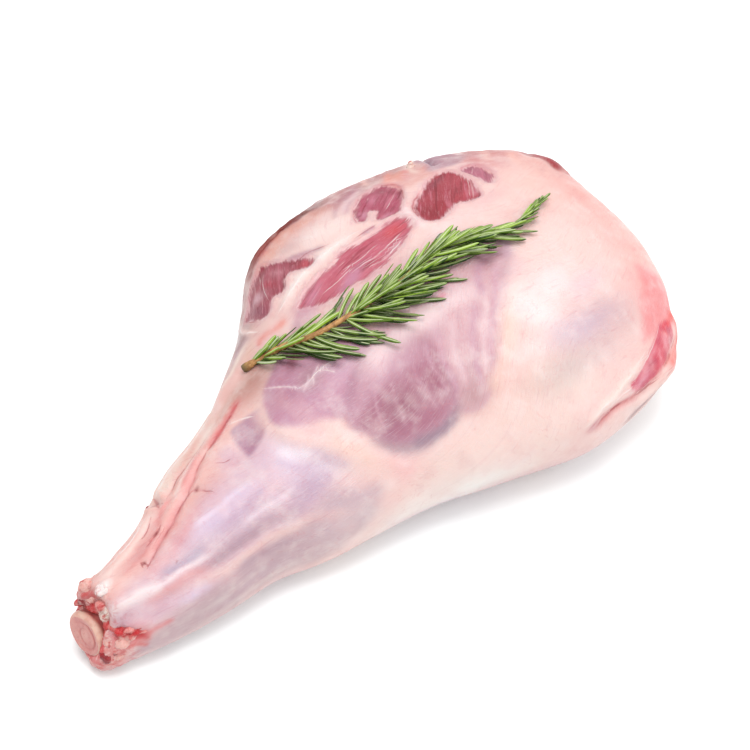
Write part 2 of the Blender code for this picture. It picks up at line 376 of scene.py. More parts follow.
def level(*colour):
    """The share of light a surface gives back to look like a screen colour (0 to 255) in this studio."""
    c = np.array(colour, float) / 255.0
    return np.where(c <= 0.04045, c / 12.92, ((c + 0.055) / 1.055) ** 2.4) * SHARE


CREAM = level(247, 217, 209)
WHITE = level(254, 238, 235)
PEACH = level(250, 206, 190)
ROSE = level(240, 174, 174)
BLUSH = level(247, 204, 201)
LAVENDER = level(224, 194, 209)
LILAC = level(222, 200, 226)
MAUVE = level(203, 167, 179)
PLUM = level(178, 114, 138)
GREY = level(194, 168, 172)
BLOOD = level(206, 62, 66)
CRIMSON = level(232, 100, 104)
LIVER = level(146, 52, 66)
BUFF = level(216, 158, 132)

paint = np.zeros(skin.shape) + level(246, 209, 203)


def tint(mask, colour, strength=1.0):
    """Lay a colour over the skin where the mask is."""
    global paint
    k = np.clip(mask * strength, 0, 1)[..., None]
    paint = paint * (1 - k) + colour * k


def field(points, soft, colour, strength):
    tint(patch(points, soft), colour, strength)


# Broad colours of the shank
field([(2, 9), (12, 9.5), (24, 13), (38, 15), (41, 10), (34, 5.5), (24, 2.4), (12, -0.6), (2, -2)], 4.0,
      level(243, 190, 182), 0.9)
field([(4, -1.5), (12, 0), (22, 1.0), (29, 2.0), (36, 2.5), (39, -3), (38, -9), (28, -10), (16, -8), (8, -6)], 3.0,
      level(226, 190, 203), 0.9)
field([(5, -8), (16, -7.0), (26, -9.0), (36, -11.5), (41, -16), (34, -18), (22, -14.5), (10, -11.4)], 2.5,
      level(202, 171, 178), 0.85)
tint(blot(36, -14.5, 6, 3.0, -30), level(222, 196, 200), 0.8)
tint(blot(19, -10.6, 9, 1.5, -14), level(194, 164, 170), 0.6)
tint(blot(24, -12.2, 8, 1.6, -16), level(200, 168, 178), 0.6)
tint(blot(22.6, -2.4, 4.2, 1.5, -12), LILAC, 0.75)
tint(blot(27.3, -2.2, 2.8, 1.5, -8), LILAC, 0.55)
tint(blot(25.5, -4.6, 6.5, 1.3, -14), level(214, 182, 202), 0.6)
tint(blot(34.6, -2.6, 3.0, 3.6, -20), level(236, 220, 234), 0.85)
tint(blot(36.4, -7.0, 3.6, 2.0, -40), level(230, 208, 216), 0.7)
tint(blot(32.6, -8.4, 4.0, 1.6, -14), level(222, 190, 200), 0.6)
# A lavender patch, lightened as a painted highlight
tint(blot(15.6, -6.6, 2.6, 0.9, -16), level(232, 208, 228), 0.8)
tint(stroke([(12.6, -1.6), (16, -2.8), (20, -3.9)], 0.7), level(172, 160, 186), 0.55)
tint(stroke([(16.5, -4.7), (21.5, -6.3), (27.7, -8.0), (33, -9.4)], 0.95), level(196, 158, 172), 0.8)
tint(stroke([(17.5, -5.1), (22.5, -6.8), (28, -8.4)], 0.4), level(184, 146, 158), 0.55)
tint(stroke([(12.0, -4.1), (18.5, -6.6), (21.5, -7.9), (30.8, -10.4), (34.6, -12.8), (38, -16)], 0.7),
     level(240, 204, 200), 0.85)
tint(stroke([(9, -3.1), (12.6, -3.7), (16, -4.5), (19.5, -6)], 0.8), level(240, 172, 172), 0.75)
tint(stroke([(11, -0.6), (17, -0.6), (23, 1.0)], 0.9), level(240, 176, 178), 0.55)
# Painted light along the shank's lower edge: a lighter band as a painted highlight, then a darker strip under it as
# painted shade
tint(stroke([(5, -10.8), (12, -12.9), (20, -15.2), (28, -17.6)], 0.9, 0.1), level(232, 204, 202), 0.7)
tint(stroke([(8, -13.2), (16, -15.4), (24, -18.2)], 0.7), level(208, 176, 178), 0.7)
field([(30.8, 1.4), (31.6, 4.4), (32.3, 5.6), (34.2, 5.3), (36.5, 4.4), (35.4, 2.2), (32.6, 1.5)], 0.9,
      level(176, 124, 152), 0.9)
tint(blot(32.4, 2.3, 1.3, 0.7, 20), level(180, 124, 148), 0.6)
tint(blot(29.4, 3.0, 2.2, 1.8, 40), level(224, 190, 206), 0.7)
tint(blot(31.0, -0.6, 3.0, 1.2, -10), level(226, 196, 212), 0.6)
tint(stroke([(37.4, 5.4), (36.0, 2.0), (36.8, -2.0), (39.0, -7.0), (41.6, -12.4), (44.6, -17.0)], 1.5, 0.12),
     level(248, 214, 206), 0.85)
tint(blot(40.6, -9.0, 1.2, 5.0, 18), PEACH, 0.6)
tint(blot(44.6, -16.6, 1.8, 4.0, 25), level(248, 190, 190), 0.65)
tint(blot(32, 13.2, 4.6, 2.6, 35), level(232, 218, 208), 0.8)
tint(blot(22, 9.2, 6, 2.2, 22), level(240, 206, 190), 0.55)
tint(stroke([(19.4, 6.6), (22.4, 7.9), (26.0, 8.5), (30.2, 9.8), (33.4, 10.9)], 0.95), level(240, 230, 220), 0.9)
tint(stroke([(20.8, 5.2), (23.6, 6.4), (26.6, 7.3), (30.2, 8.3)], 0.4), level(242, 176, 166), 0.7)
tint(blot(13.0, 2.6, 4.0, 1.3, 10), level(238, 172, 172), 0.6)
tint(blot(10.4, 4.6, 2.6, 1.4, 10), level(250, 214, 206), 0.6)
tint(stroke([(7.2, 7.0), (7.9, 5.4), (8.0, 4.0)], 0.5), BUFF, 0.8)
tint(stroke([(41, 8.6), (38, 9.2), (34.6, 9.4), (31, 8.8)], 1.2), level(216, 164, 150), 0.7)
tint(stroke([(19, 7.4), (26, 8.6), (31, 10.4)], 0.8), level(248, 206, 192), 0.6)
tint(blot(41.6, 12.4, 2.4, 1.8, 30), level(232, 186, 164), 0.6)

# Lobes of muscle seen through the membrane
LEFT_LOBE = [(36.2, 1.2), (37.2, 4.4), (39.6, 6.4), (44, 6.6), (49.5, 3.0), (53, -1.5), (51.6, -4.6), (47, -5.4),
             (43.0, -6.4), (40.6, -3.8), (38, -1.6)]
RIGHT_LOBE = [(42.6, -6.6), (43.6, -10.6), (45.6, -14.6), (48.6, -17.4), (52.4, -18.4), (55.2, -16.4),
              (57.0, -12.4), (58.0, -8.8), (57.4, -5.8), (54.0, -3.6), (50.0, -3.4), (46, -4.0)]
MEMBRANE = [(52, -3), (60, -1.6), (70, 2.4), (75.8, 2.0), (75.8, -2.2), (73.0, -4.4), (70.7, -6.4), (68.2, -8.6),
            (66.0, -10.8), (61.8, -16.4), (57.4, -19.5), (54, -17.5), (57, -10)]
field(MEMBRANE, 0.6, level(230, 190, 199), 0.9)
tint(stroke([(75.2, 1.4), (75.2, -1.8), (73.2, -4.0), (70.4, -6.2)], 0.8), level(206, 168, 190), 0.6)
tint(blot(58, -4.6, 10.0, 1.6, 2), level(234, 198, 204), 0.7)
tint(blot(59.5, -13.6, 2.0, 5.0, -32), level(222, 178, 188), 0.7)
tint(blot(56.4, -17.6, 2.6, 1.8, 30), level(222, 180, 184), 0.6)
tint(blot(63, -9.0, 2.6, 1.4, 50), level(240, 204, 210), 0.6)
field(LEFT_LOBE, 1.0, level(214, 162, 182), 0.95)
tint(blot(39.2, 2.8, 2.4, 2.2, 30), level(190, 128, 152), 0.6)
tint(blot(44.0, 4.8, 2.4, 1.3, 0), level(138, 56, 76), 0.75)
tint(blot(41.4, -0.6, 2.4, 1.6, -18), level(212, 158, 182), 0.6)
tint(blot(47, -2.6, 4.0, 1.7, -14), level(232, 190, 206), 0.8)
tint(stroke([(40.4, 1.6), (42.4, 0.6), (45.4, 0.0), (48.6, -1.2)], 0.5), level(238, 208, 216), 0.6)
field(RIGHT_LOBE, 1.3, level(212, 164, 182), 0.95)
tint(blot(50.0, -7.0, 6.0, 1.6, 0), level(222, 180, 196), 0.55)
field([(43.4, -8.0), (44.6, -11.4), (46.8, -14.6), (50.2, -16.6), (53.6, -16.2), (56.0, -13.2), (57.2, -9.6),
       (54.0, -9.4), (49, -8.4)], 2.0, level(190, 126, 148), 0.85)
tint(blot(49.4, -12.0, 3.4, 2.0, -30), level(170, 96, 120), 0.6)
tint(blot(54.2, -12.6, 2.4, 2.2, 20), level(176, 104, 126), 0.6)
tint(blot(45.2, -9.4, 2.0, 1.6, -40), level(186, 118, 142), 0.5)
# Painted shade: grey along the right lobe's lower rim, where it rounds under
tint(stroke([(43.2, -10), (44.9, -14), (48, -17.2), (52.5, -18.3), (55.6, -16.6)], 0.8), level(186, 158, 168), 0.75)
tint(blot(50.6, -6.0, 2.0, 1.5, 30), level(242, 208, 216), 0.85)
tint(blot(50.0, -10.8, 1.8, 1.4, 0), level(178, 104, 130), 0.6)
# More painted shade along the same lower rim
tint(stroke([(46.6, -15.6), (48.6, -16.8), (51.2, -17.9), (54.6, -17.2)], 0.7), level(176, 152, 168), 0.8)
tint(blot(58.2, -8.0, 1.4, 3.0, -20), level(222, 178, 194), 0.6)
# Purple membrane under the sprig's end, darkened further as the sprig's painted shadow
tint(blot(72.2, -1.9, 2.6, 1.8, 20), level(160, 104, 132), 0.85)
tint(stroke([(66.4, -10.4), (69.0, -8.0), (72.2, -5.2), (75.6, -2.4)], 0.7), level(222, 184, 198), 0.6)
tint(stroke([(70.6, -7.6), (66.6, -11.8), (62.0, -16.2), (58.8, -19.4)], 1.2, 0.15), level(250, 210, 196), 0.75)

# The ham, cream with a lavender middle and a pink rim
field([(45, -19), (52, -20.5), (60, -20), (68, -16), (72, -21), (66, -28), (58, -33), (50, -31), (44, -25)], 4.0,
      level(250, 222, 214), 0.7)
tint(blot(70.5, -12.2, 3.0, 6.0, 16), level(254, 236, 234), 0.9)
tint(blot(75.4, -10.4, 4.6, 3.6, 10), level(252, 232, 232), 0.8)
tint(blot(74, -17.8, 7.5, 2.8, -4), level(228, 200, 212), 0.85)
tint(blot(79.0, -13.4, 4.6, 2.0, 10), level(240, 208, 214), 0.7)
tint(blot(71, -21.4, 7, 2.2, -4), level(234, 206, 204), 0.7)
tint(blot(80.4, -5.4, 6.0, 3.4, 10), level(252, 218, 212), 0.8)
tint(blot(73.0, -5.2, 2.8, 2.0, 40), level(234, 198, 202), 0.8)
tint(blot(88, 4, 6.0, 9.0, 0), level(250, 202, 192), 0.8)
tint(blot(80.0, 6.0, 5.0, 1.6, 0), level(238, 192, 192), 0.6)
tint(blot(86, 13, 4.4, 4.4, 0), level(232, 168, 166), 0.7)
tint(blot(92.4, 13, 2.6, 5.0, 0), level(246, 182, 172), 0.7)
field([(72, 17.5), (75, 22), (79, 22), (81, 17), (77, 15.6)], 2.5, level(234, 166, 156), 0.75)
tint(blot(76.0, 20.6, 2.4, 1.6, 30), level(246, 164, 138), 0.7)
field([(79.6, 17.2), (80.6, 20.0), (81.6, 23.4), (85.4, 22.4), (86.6, 18.6), (84.2, 16.6), (82.0, 16.6)], 1.4,
      level(182, 142, 162), 0.85)
tint(blot(82.0, 21.4, 0.8, 2.4, -20), level(142, 104, 136), 0.7)
tint(blot(88, 19, 3.0, 3, -20), level(214, 160, 162), 0.6)
tint(blot(91, 18, 3, 3, -20), level(232, 176, 168), 0.6)

# The far side, from the knee's hollow to the top edge
# Partly the far side's own pinker colour, partly painted shade where the far side turns from the light
field([(36, 16), (42, 24), (52, 27), (72, 28), (80, 25), (76, 21), (64, 20.6), (54, 21.4), (46, 18), (40, 13.4)],
      3.0, level(206, 160, 156), 0.85)
tint(blot(61, 16.8, 4.6, 4.0, 0), level(250, 226, 220), 0.95)
tint(blot(56.2, 18.4, 2.0, 2.6, 20), level(222, 184, 182), 0.7)
tint(stroke([(64.6, 16.8), (67.0, 19.6), (69.6, 22.4)], 0.55), level(206, 152, 168), 0.7)
tint(stroke([(66.2, 18.6), (68.8, 21.4), (71.0, 23.6)], 0.45), level(184, 108, 128), 0.7)
tint(stroke([(63.2, 17.2), (65.4, 20.0), (67.6, 22.8)], 0.45), level(200, 150, 160), 0.6)
tint(stroke([(54.4, 16.4), (56.6, 14.6), (58.8, 13.3)], 0.6), level(176, 132, 148), 0.75)
tint(stroke([(63.1, 11.3), (64.6, 11.8), (65.9, 11.8)], 0.4), level(186, 120, 146), 0.75)
tint(blot(44, 18, 4.0, 3.2, 30), level(204, 172, 170), 0.6)
tint(blot(42.4, 15.4, 3.0, 1.7, 30), level(186, 146, 160), 0.6)
tint(blot(47.4, 22.4, 4.5, 1.4, 18), level(212, 184, 178), 0.6)
tint(blot(57.5, 23.6, 3.8, 1.2, 10), level(238, 158, 144), 0.6)
tint(blot(67.6, 21.6, 3.6, 2.4, 20), level(190, 120, 138), 0.75)
tint(blot(61.6, 23.0, 4.0, 1.2, 4), level(222, 186, 178), 0.5)
tint(stroke([(47.5, 11.2), (53, 12.0), (58, 12.2), (63.6, 12.4)], 0.8), level(254, 238, 232), 0.95)
tint(blot(49.4, 7.4, 2.6, 2.4, 0), level(214, 166, 180), 0.85)
tint(stroke([(42.6, 11.6), (44.8, 10.9), (47.9, 9.2)], 0.7), level(242, 150, 138), 0.85)
tint(blot(47.6, 7.6, 1.6, 1.0, 0), level(190, 128, 150), 0.6)
tint(blot(62.4, 3.4, 8.0, 1.4, 4), level(234, 190, 196), 0.6)
tint(stroke([(70.4, 13.6), (70.2, 10.2), (69.8, 6.4)], 0.8), level(252, 228, 226), 0.85)
tint(blot(72, 5.6, 5.0, 1.6, 0), level(250, 218, 216), 0.7)

# The rump's rim and cut
rim = ease((ALONG - 83.5 - 0.10 * np.abs(ROUND + 16)) / 7.0) * ease((10 - ROUND) / 10)
tint(rim, level(247, 186, 178), 0.8)
field([(88.3, -15.4), (90.4, -18.0), (91.6, -22.0), (90.6, -27.0), (86.4, -25.4), (82.6, -24.6), (80.2, -24.0),
       (82.0, -21.8), (84.4, -19.6), (86.6, -18.4)], 2.0, level(242, 150, 152), 0.85)
tint(blot(89.0, -11.0, 3.0, 5.0, -10), level(246, 190, 184), 0.6)
tint(blot(96.0, 10.2, 1.3, 4.6, -6), level(150, 56, 70), 0.75)
tint(stroke([(91.6, 20.8), (93.4, 19.2), (94.4, 16.6), (94.7, 13.4), (94.8, 10.6), (94.7, 8.2), (94.4, 5.6)], 0.62, 0.15),
     level(172, 34, 50), 1.0)
tint(blot(95.6, 11.4, 1.0, 4.6, -4), level(168, 34, 48), 0.95)
RUMP_CUT = [(84.8, -23.8), (86.9, -24.8), (86.2, -26.6), (84.2, -28.0), (81.6, -29.0), (78.6, -29.5), (75.6, -28.9),
            (74.9, -27.7), (76.4, -27.0), (79.0, -26.2), (82.0, -25.0)]
RUMP_LOBE = [(87.2, -23.4), (88.4, -25.8), (87.4, -28.0), (85.0, -29.6), (81.4, -30.4)]
field(RUMP_CUT, 0.45, level(222, 88, 108), 1.0)
mottle = patch(RUMP_CUT, 0.6) * noise(skin / U, 1.1, 29, 2)
for mask, colour, strength in (
    (blot(85.8, -24.9, 1.8, 1.2, 12), (240, 66, 76), 1.0),
    (blot(77.4, -28.0, 2.6, 1.2, 12), (224, 150, 172), 0.85),
    (blot(83.2, -27.6, 2.0, 0.5, 20), (214, 76, 104), 0.7),
    (blot(79.6, -27.0, 0.9, 0.6, 60), (240, 180, 192), 0.7),
    (mottle * 2.2, (238, 146, 160), 0.7),
    (mottle * -2.2, (204, 76, 104), 0.8),
    (stroke(RUMP_LOBE, 0.95, 0.12), (240, 98, 86), 0.95),
):
    tint(mask, level(*colour), strength)
tint(stroke([(66.1, -29.2), (68.3, -28.7), (71.5, -27.7), (75.6, -26.3), (79.4, -25.3)], 0.5), level(253, 228, 218), 0.95)
# Painted shade: a darker, reddish line down the rump's crease
tint(stroke([(67.1, -30.6), (69.7, -30.1), (72.5, -29.6), (76.7, -29.9), (80.2, -30.1)], 0.5), level(222, 130, 132), 0.8)
tint(blot(67.6, -30.0, 1.6, 0.9, 10), level(214, 150, 156), 0.7)
tint(stroke([(74.5, -29.9), (80, -30.9), (86, -30.4)], 0.9), level(252, 224, 216), 0.8)
tint(stroke([(81.6, -32.3), (77.4, -32.5), (75.1, -33.3), (73.6, -34.6)], 0.9), level(150, 96, 100), 0.8)

# The torn shank end
tint(ease((6.6 - ALONG) / 2.6), level(228, 134, 128), 0.85)
tint(ease((MOUTH_ROWS + 3 - np.arange(len(skin))[:, None]) / 4.0) * np.ones(ALONG.shape), level(220, 50, 54), 0.9)
tint(blot(6.6, -5.0, 2.4, 1.7, -40), level(240, 140, 138), 0.7)
tint(blot(7.6, -6.0, 1.3, 0.7, -35), level(224, 60, 62), 0.7)
tint(stroke([(5.0, -2.4), (6.6, -4.6), (8.6, -8.2)], 0.5), level(212, 48, 52), 0.8)
tint(stroke([(5.2, -4.6), (6.6, -6.6), (8.2, -8.9)], 0.35), level(222, 76, 78), 0.7)
tint(stroke([(5.2, 4.6), (5.4, 1.6), (5.3, -2.0)], 0.6), level(196, 44, 50), 0.8)
tint(blot(9.0, -12.8, 2.0, 0.7, -14), level(228, 56, 60), 0.7)
# The white ridge of tendon over the bone, with its glossy highlight painted into the colour
tint(stroke([(5.6, -0.6), (7.6, -1.4), (10.4, -2.3), (13, -2.9)], 0.75, 0.2), level(253, 236, 236), 0.95)
tint(blot(7.4, 2.1, 1.1, 0.9, 30), WHITE, 0.95)
tint(blot(7.0, 6.6, 2.2, 1.0, 0), level(224, 138, 126), 0.6)
tint(stroke([(7.6, -6.4), (9.6, -6.9), (12, -7.6)], 0.35), CRIMSON, 0.5)

# A second coat: transparent glazes that deepen the broad colours, stains in most places and painted shade in some;
# then lighter tints of painted light
def glaze(mask, *screen):
    """Darken the skin by a share of each primary, given as screen differences below 255: a stain, and in places
    painted shade.
    """
    global paint
    k = np.clip(mask, 0, 1)[..., None]
    paint = paint * (1 - k + k * (np.array(screen, float) / 255.0) ** 2.2)


glaze(blot(18, 1.2, 12, 2.4, 10), 246, 236, 236)
glaze(blot(23, -5.0, 12, 3.0, -14), 238, 242, 244)
glaze(blot(35, -9.0, 6, 5.0, -50), 234, 234, 246)
# Painted shadow of the sprig's base, over a tan stain
glaze(blot(38.5, 8.0, 4.5, 2.6, 0), 226, 218, 218)
glaze(patch(RIGHT_LOBE, 2.0), 234, 222, 226)
glaze(patch(LEFT_LOBE, 2.0), 240, 232, 238)
glaze(patch(MEMBRANE, 3.0), 240, 232, 232)
glaze(blot(58, -17, 5, 3.6, 20), 236, 232, 232)
glaze(blot(64, -21, 8, 4.0, 0), 244, 236, 234)
glaze(blot(74, -19, 9, 5.0, 0), 238, 238, 240)
# Painted shade: darker towards the far side
glaze(ease((ROUND - 15) / 8) * ease((ALONG - 36) / 12) * UPPER, 238, 226, 228)
glaze(blot(88, 17, 7, 5.5, -10), 236, 208, 212)
glaze(blot(93, 6, 4, 9.0, 0), 246, 232, 230)
glaze(blot(84, -29.5, 5, 3.0, 0), 250, 216, 214)
glaze(blot(79, -27, 6, 3.0, 10), 250, 240, 240)
glaze(blot(86.5, -20, 4.6, 5.0, 0), 250, 220, 222)
glaze(blot(79, -19, 5.0, 5.0, 0), 240, 236, 239)
glaze(blot(43.5, 17, 2.6, 5.0, 30), 230, 222, 220)
glaze(blot(43, 1, 2.8, 2.4, 0), 228, 228, 222)
# More painted shadow of the sprig's base, over the tan stain
glaze(blot(38, 7.4, 4, 2.4, 20), 240, 230, 226)
glaze(blot(10, 7, 5, 2.6, 10), 248, 232, 232)
glaze(blot(48, -11.5, 5, 3, 0), 242, 234, 238)
glaze(blot(25, 1.4, 4, 1.8, 10), 248, 236, 236)
glaze(blot(89.5, 17, 6, 4.6, -10), 242, 214, 214)
glaze(blot(43.5, 17, 2.6, 5.0, 30), 234, 228, 226)
glaze(blot(9, 7, 6, 3, 10), 250, 232, 232)
glaze(blot(67, -22, 5, 3.5, 0), 244, 252, 252)
# Painted shade: darker still near the far edge
glaze(ease((ROUND - 21.0) / 3) * ease((ALONG - 57) / 6) * ease((80 - ALONG) / 4) * UPPER, 246, 222, 224)
glaze(blot(97, 7, 3, 5.0, 0), 244, 226, 230)
# Painted light: lighter under the sprig's near side, to offset the shade its leaves cast
tint(stroke([(46, -4.0), (54, -5.2), (61, -5.2), (69, -5.0)], 1.7), level(250, 222, 224), 0.8)
# Painted light: the ham's lower edge lightened where it curves under, away from the lamps
tint(blot(43, -22.6, 6, 3.0, -24), level(255, 240, 234), 0.7)
tint(blot(50, -28.6, 9, 4.2, -20), level(255, 248, 243), 0.95)
tint(blot(43, -24, 6, 2.6, -30), level(253, 236, 230), 0.7)

# Streaks of the shank
for line, width, colour, strength in (
    ([(9.6, -2.4), (15, -3.2), (20.4, -5.0)], 0.35, (246, 226, 230), 0.8),
    ([(20, -8.8), (25.6, -10.4), (30, -12.2)], 0.6, (188, 156, 168), 0.6),
    ([(14, -9.4), (20, -10.6), (25, -12.2)], 0.4, (216, 190, 192), 0.7),
    ([(12, -11.2), (20, -12.8), (29, -15.6)], 0.5, (226, 202, 200), 0.7),
    ([(19.6, -0.9), (24, -1.5), (29.4, -1.6)], 0.4, (240, 222, 240), 0.7),
    ([(21, -3.6), (26, -3.9), (31, -3.7)], 0.45, (206, 176, 198), 0.7),
    ([(24, -5.2), (29, -6.2), (33, -6.6)], 0.4, (236, 214, 226), 0.7),
    ([(33.6, -0.8), (35.4, -3.6), (37.8, -7.0)], 0.6, (246, 232, 240), 0.7),
    ([(32.6, -1.6), (34.0, -4.6), (36.2, -7.8)], 0.5, (212, 184, 206), 0.6),
    ([(36.6, -4.6), (37.8, -7.4), (39.4, -10.8)], 0.6, (214, 186, 200), 0.6),
    ([(34, -9.4), (37, -12.0), (39.4, -15.4)], 0.5, (206, 178, 190), 0.6),
    ([(6.4, 3.0), (10, 3.5), (14.4, 4.6), (19, 6.2)], 0.45, (253, 226, 218), 0.8),
    ([(9, 1.4), (13, 1.8), (17, 3.2)], 0.3, (222, 140, 140), 0.5),
    ([(20, 4.4), (25, 6.6), (30, 8.6)], 0.4, (253, 222, 214), 0.7),
    ([(22, 6.6), (28, 9.2), (34, 11.2)], 0.5, (228, 168, 158), 0.6),
    ([(24.6, 10.2), (29, 11.6), (34, 13.2)], 0.5, (250, 238, 232), 0.8),
    ([(36, 13), (40, 13.8), (43.4, 14.4)], 0.6, (250, 228, 214), 0.7),
):
    tint(stroke(line, width), level(*colour), strength)

# Threads of the membrane, slanting down from the sprig
for start, end, width, colour, strength in (
    ((58.0, -18.6), (65.8, -6.2), 0.55, (206, 158, 174), 0.75),
    ((60.0, -17.6), (70.4, -5.2), 0.50, (214, 168, 182), 0.70),
    ((56.6, -16.8), (62.2, -6.6), 0.45, (240, 208, 214), 0.40),
    ((59.2, -17.8), (68.4, -5.6), 0.35, (242, 210, 214), 0.40),
    ((61.8, -16.6), (71.6, -6.0), 0.35, (242, 208, 212), 0.45),
    ((55.4, -16.4), (59.4, -7.4), 0.40, (206, 156, 174), 0.60),
    ((66.6, -7.0), (70.8, -1.6), 0.70, (204, 158, 178), 0.65),
    ((68.4, -7.6), (73.6, -2.6), 0.50, (216, 172, 188), 0.60),
    ((54.4, -15.6), (56.8, -8.2), 0.25, (222, 180, 194), 0.35),
    ((52.2, -16.0), (53.6, -8.6), 0.22, (216, 168, 184), 0.25),
    ((47.6, -14.6), (50.4, -8.4), 0.22, (216, 168, 184), 0.25),
    ((45.4, -12.6), (48.0, -7.4), 0.25, (222, 178, 192), 0.30),
):
    middle = ((start[0] + end[0]) / 2 - 0.5, (start[1] + end[1]) / 2 + 0.4)
    tint(stroke([start, middle, end], width), level(*colour), strength)
for line in (
    [(40.6, 1.8), (42.2, 0.9), (44.6, 0.5), (47.0, -0.6), (49.0, -1.2)],
    [(40.9, 0.6), (42.4, 0.9), (43.4, 1.6)],
    [(42.6, -0.2), (43.6, 0.7), (45.4, 1.0)],
    [(44.4, 0.5), (45.4, -0.6), (46.0, -1.8)],
    [(38.6, 6.2), (40.2, 3.4), (41.2, 1.4)],
):
    tint(stroke(line, 0.2, 0.15), level(240, 210, 220), 0.45)
tint(blot(62.6, -3.9, 0.8, 0.5, 0), level(240, 130, 156), 0.6)

# Bands across the far side
for start, end, width, colour, strength in (
    ((41.2, 17.0), (43.8, 21.6), 0.7, (232, 214, 206), 0.8),
    ((43.0, 16.4), (45.8, 21.8), 0.5, (182, 146, 150), 0.7),
    ((44.8, 17.6), (47.4, 23.0), 0.6, (234, 208, 202), 0.8),
    ((39.0, 15.0), (41.0, 18.6), 0.6, (214, 176, 168), 0.7),
    ((47.2, 20.8), (50.0, 24.6), 0.6, (188, 150, 148), 0.6),
    ((50.0, 20.6), (52.4, 25.4), 0.5, (220, 186, 180), 0.7),
    ((54.0, 20.8), (57.2, 26.2), 0.9, (226, 128, 122), 0.75),
    ((56.6, 21.6), (60.2, 26.4), 0.7, (238, 156, 142), 0.75),
    ((58.8, 21.0), (62.0, 26.0), 0.5, (206, 150, 142), 0.6),
    ((61.6, 21.4), (64.6, 26.4), 0.6, (232, 200, 190), 0.7),
    ((64.4, 22.0), (66.8, 26.4), 0.6, (190, 146, 144), 0.7),
    ((67.2, 21.6), (68.8, 26.4), 0.5, (226, 190, 186), 0.6),
    ((69.8, 20.4), (71.4, 26.6), 0.6, (178, 96, 112), 0.75),
    ((71.8, 21.0), (73.6, 26.0), 0.5, (240, 186, 176), 0.7),
    ((73.2, 17.4), (76.8, 24.0), 0.7, (240, 150, 132), 0.75),
    ((75.4, 16.8), (79.4, 22.6), 0.6, (226, 144, 142), 0.65),
    ((78.2, 17.6), (80.2, 24.0), 0.45, (250, 222, 212), 0.8),
    ((84.4, 15.8), (87.4, 21.4), 0.5, (206, 164, 170), 0.5),
    ((87.6, 13.0), (90.4, 19.2), 0.7, (240, 172, 160), 0.65),
    ((90.0, 9.6), (93.0, 16.6), 0.6, (248, 186, 172), 0.7),
):
    middle = ((start[0] + end[0]) / 2 - 0.3, (start[1] + end[1]) / 2)
    tint(stroke([start, middle, end], width, 0.35), level(*colour), strength)
far_edge = np.interp(ALONG, (43, 46, 49, 52, 55, 58, 61, 64, 70, 76), (20, 21.9, 24, 25.2, 25.9, 26.5, 26.5, 26.8, 27.2, 26))
inside_edge = far_edge + 0.5 * noise(skin / U, 2.4, 27, 2) - ROUND
rim_long = ease((ALONG - 49.5) / 3.0) * ease((69 - ALONG) / 8.0)
tint(ease((8.0 - inside_edge) / 2.5) * ease((inside_edge - 3.4) / 1.2) * rim_long, level(240, 176, 156), 0.5)
dark_rim = ease((4.0 - inside_edge) / 1.0) * ease((inside_edge + 3.0) / 2.0) * rim_long
tint(dark_rim * (0.8 + 0.6 * noise(skin / U, 3.0, 28, 2)), level(116, 42, 38), 0.95)
tint(stroke([(64.4, 17.4), (67.0, 19.8), (70.4, 21.4)], 0.6), level(240, 206, 208), 0.7)
tint(stroke([(44.4, 12.8), (44.3, 16.0), (45.4, 19.2)], 0.35), level(250, 214, 206), 0.8)

# Veins, cracks and stains
tint(stroke([(28.4, 6.4), (31, 7.2), (33.6, 7.8), (36.8, 8.2)], 0.62), level(222, 92, 98), 0.8)
tint(stroke([(12, 0.2), (16, 1.5), (20, 2.7), (24, 4.4), (29, 6.7)], 0.8), level(232, 140, 144), 0.5)
tint(stroke([(22.4, 4.5), (25.4, 6.0), (27.4, 6.9)], 0.45), level(240, 156, 154), 0.7)
tint(blot(17.0, 4.2, 3.4, 1.0, 16), level(238, 158, 158), 0.6)
tint(stroke([(13.6, 2.6), (16.6, 3.4), (18.6, 4.6), (21.6, 5.4)], 0.45), level(232, 140, 138), 0.6)
for u, v, size in ((12.3, 0.9, 0.35), (16.0, 2.8, 0.45), (23.9, 2.8, 0.5), (15.7, -2.0, 0.22), (19.0, 6.6, 0.6)):
    tint(blot(u, v, size, size * 0.8), level(150, 56, 62), 0.75)

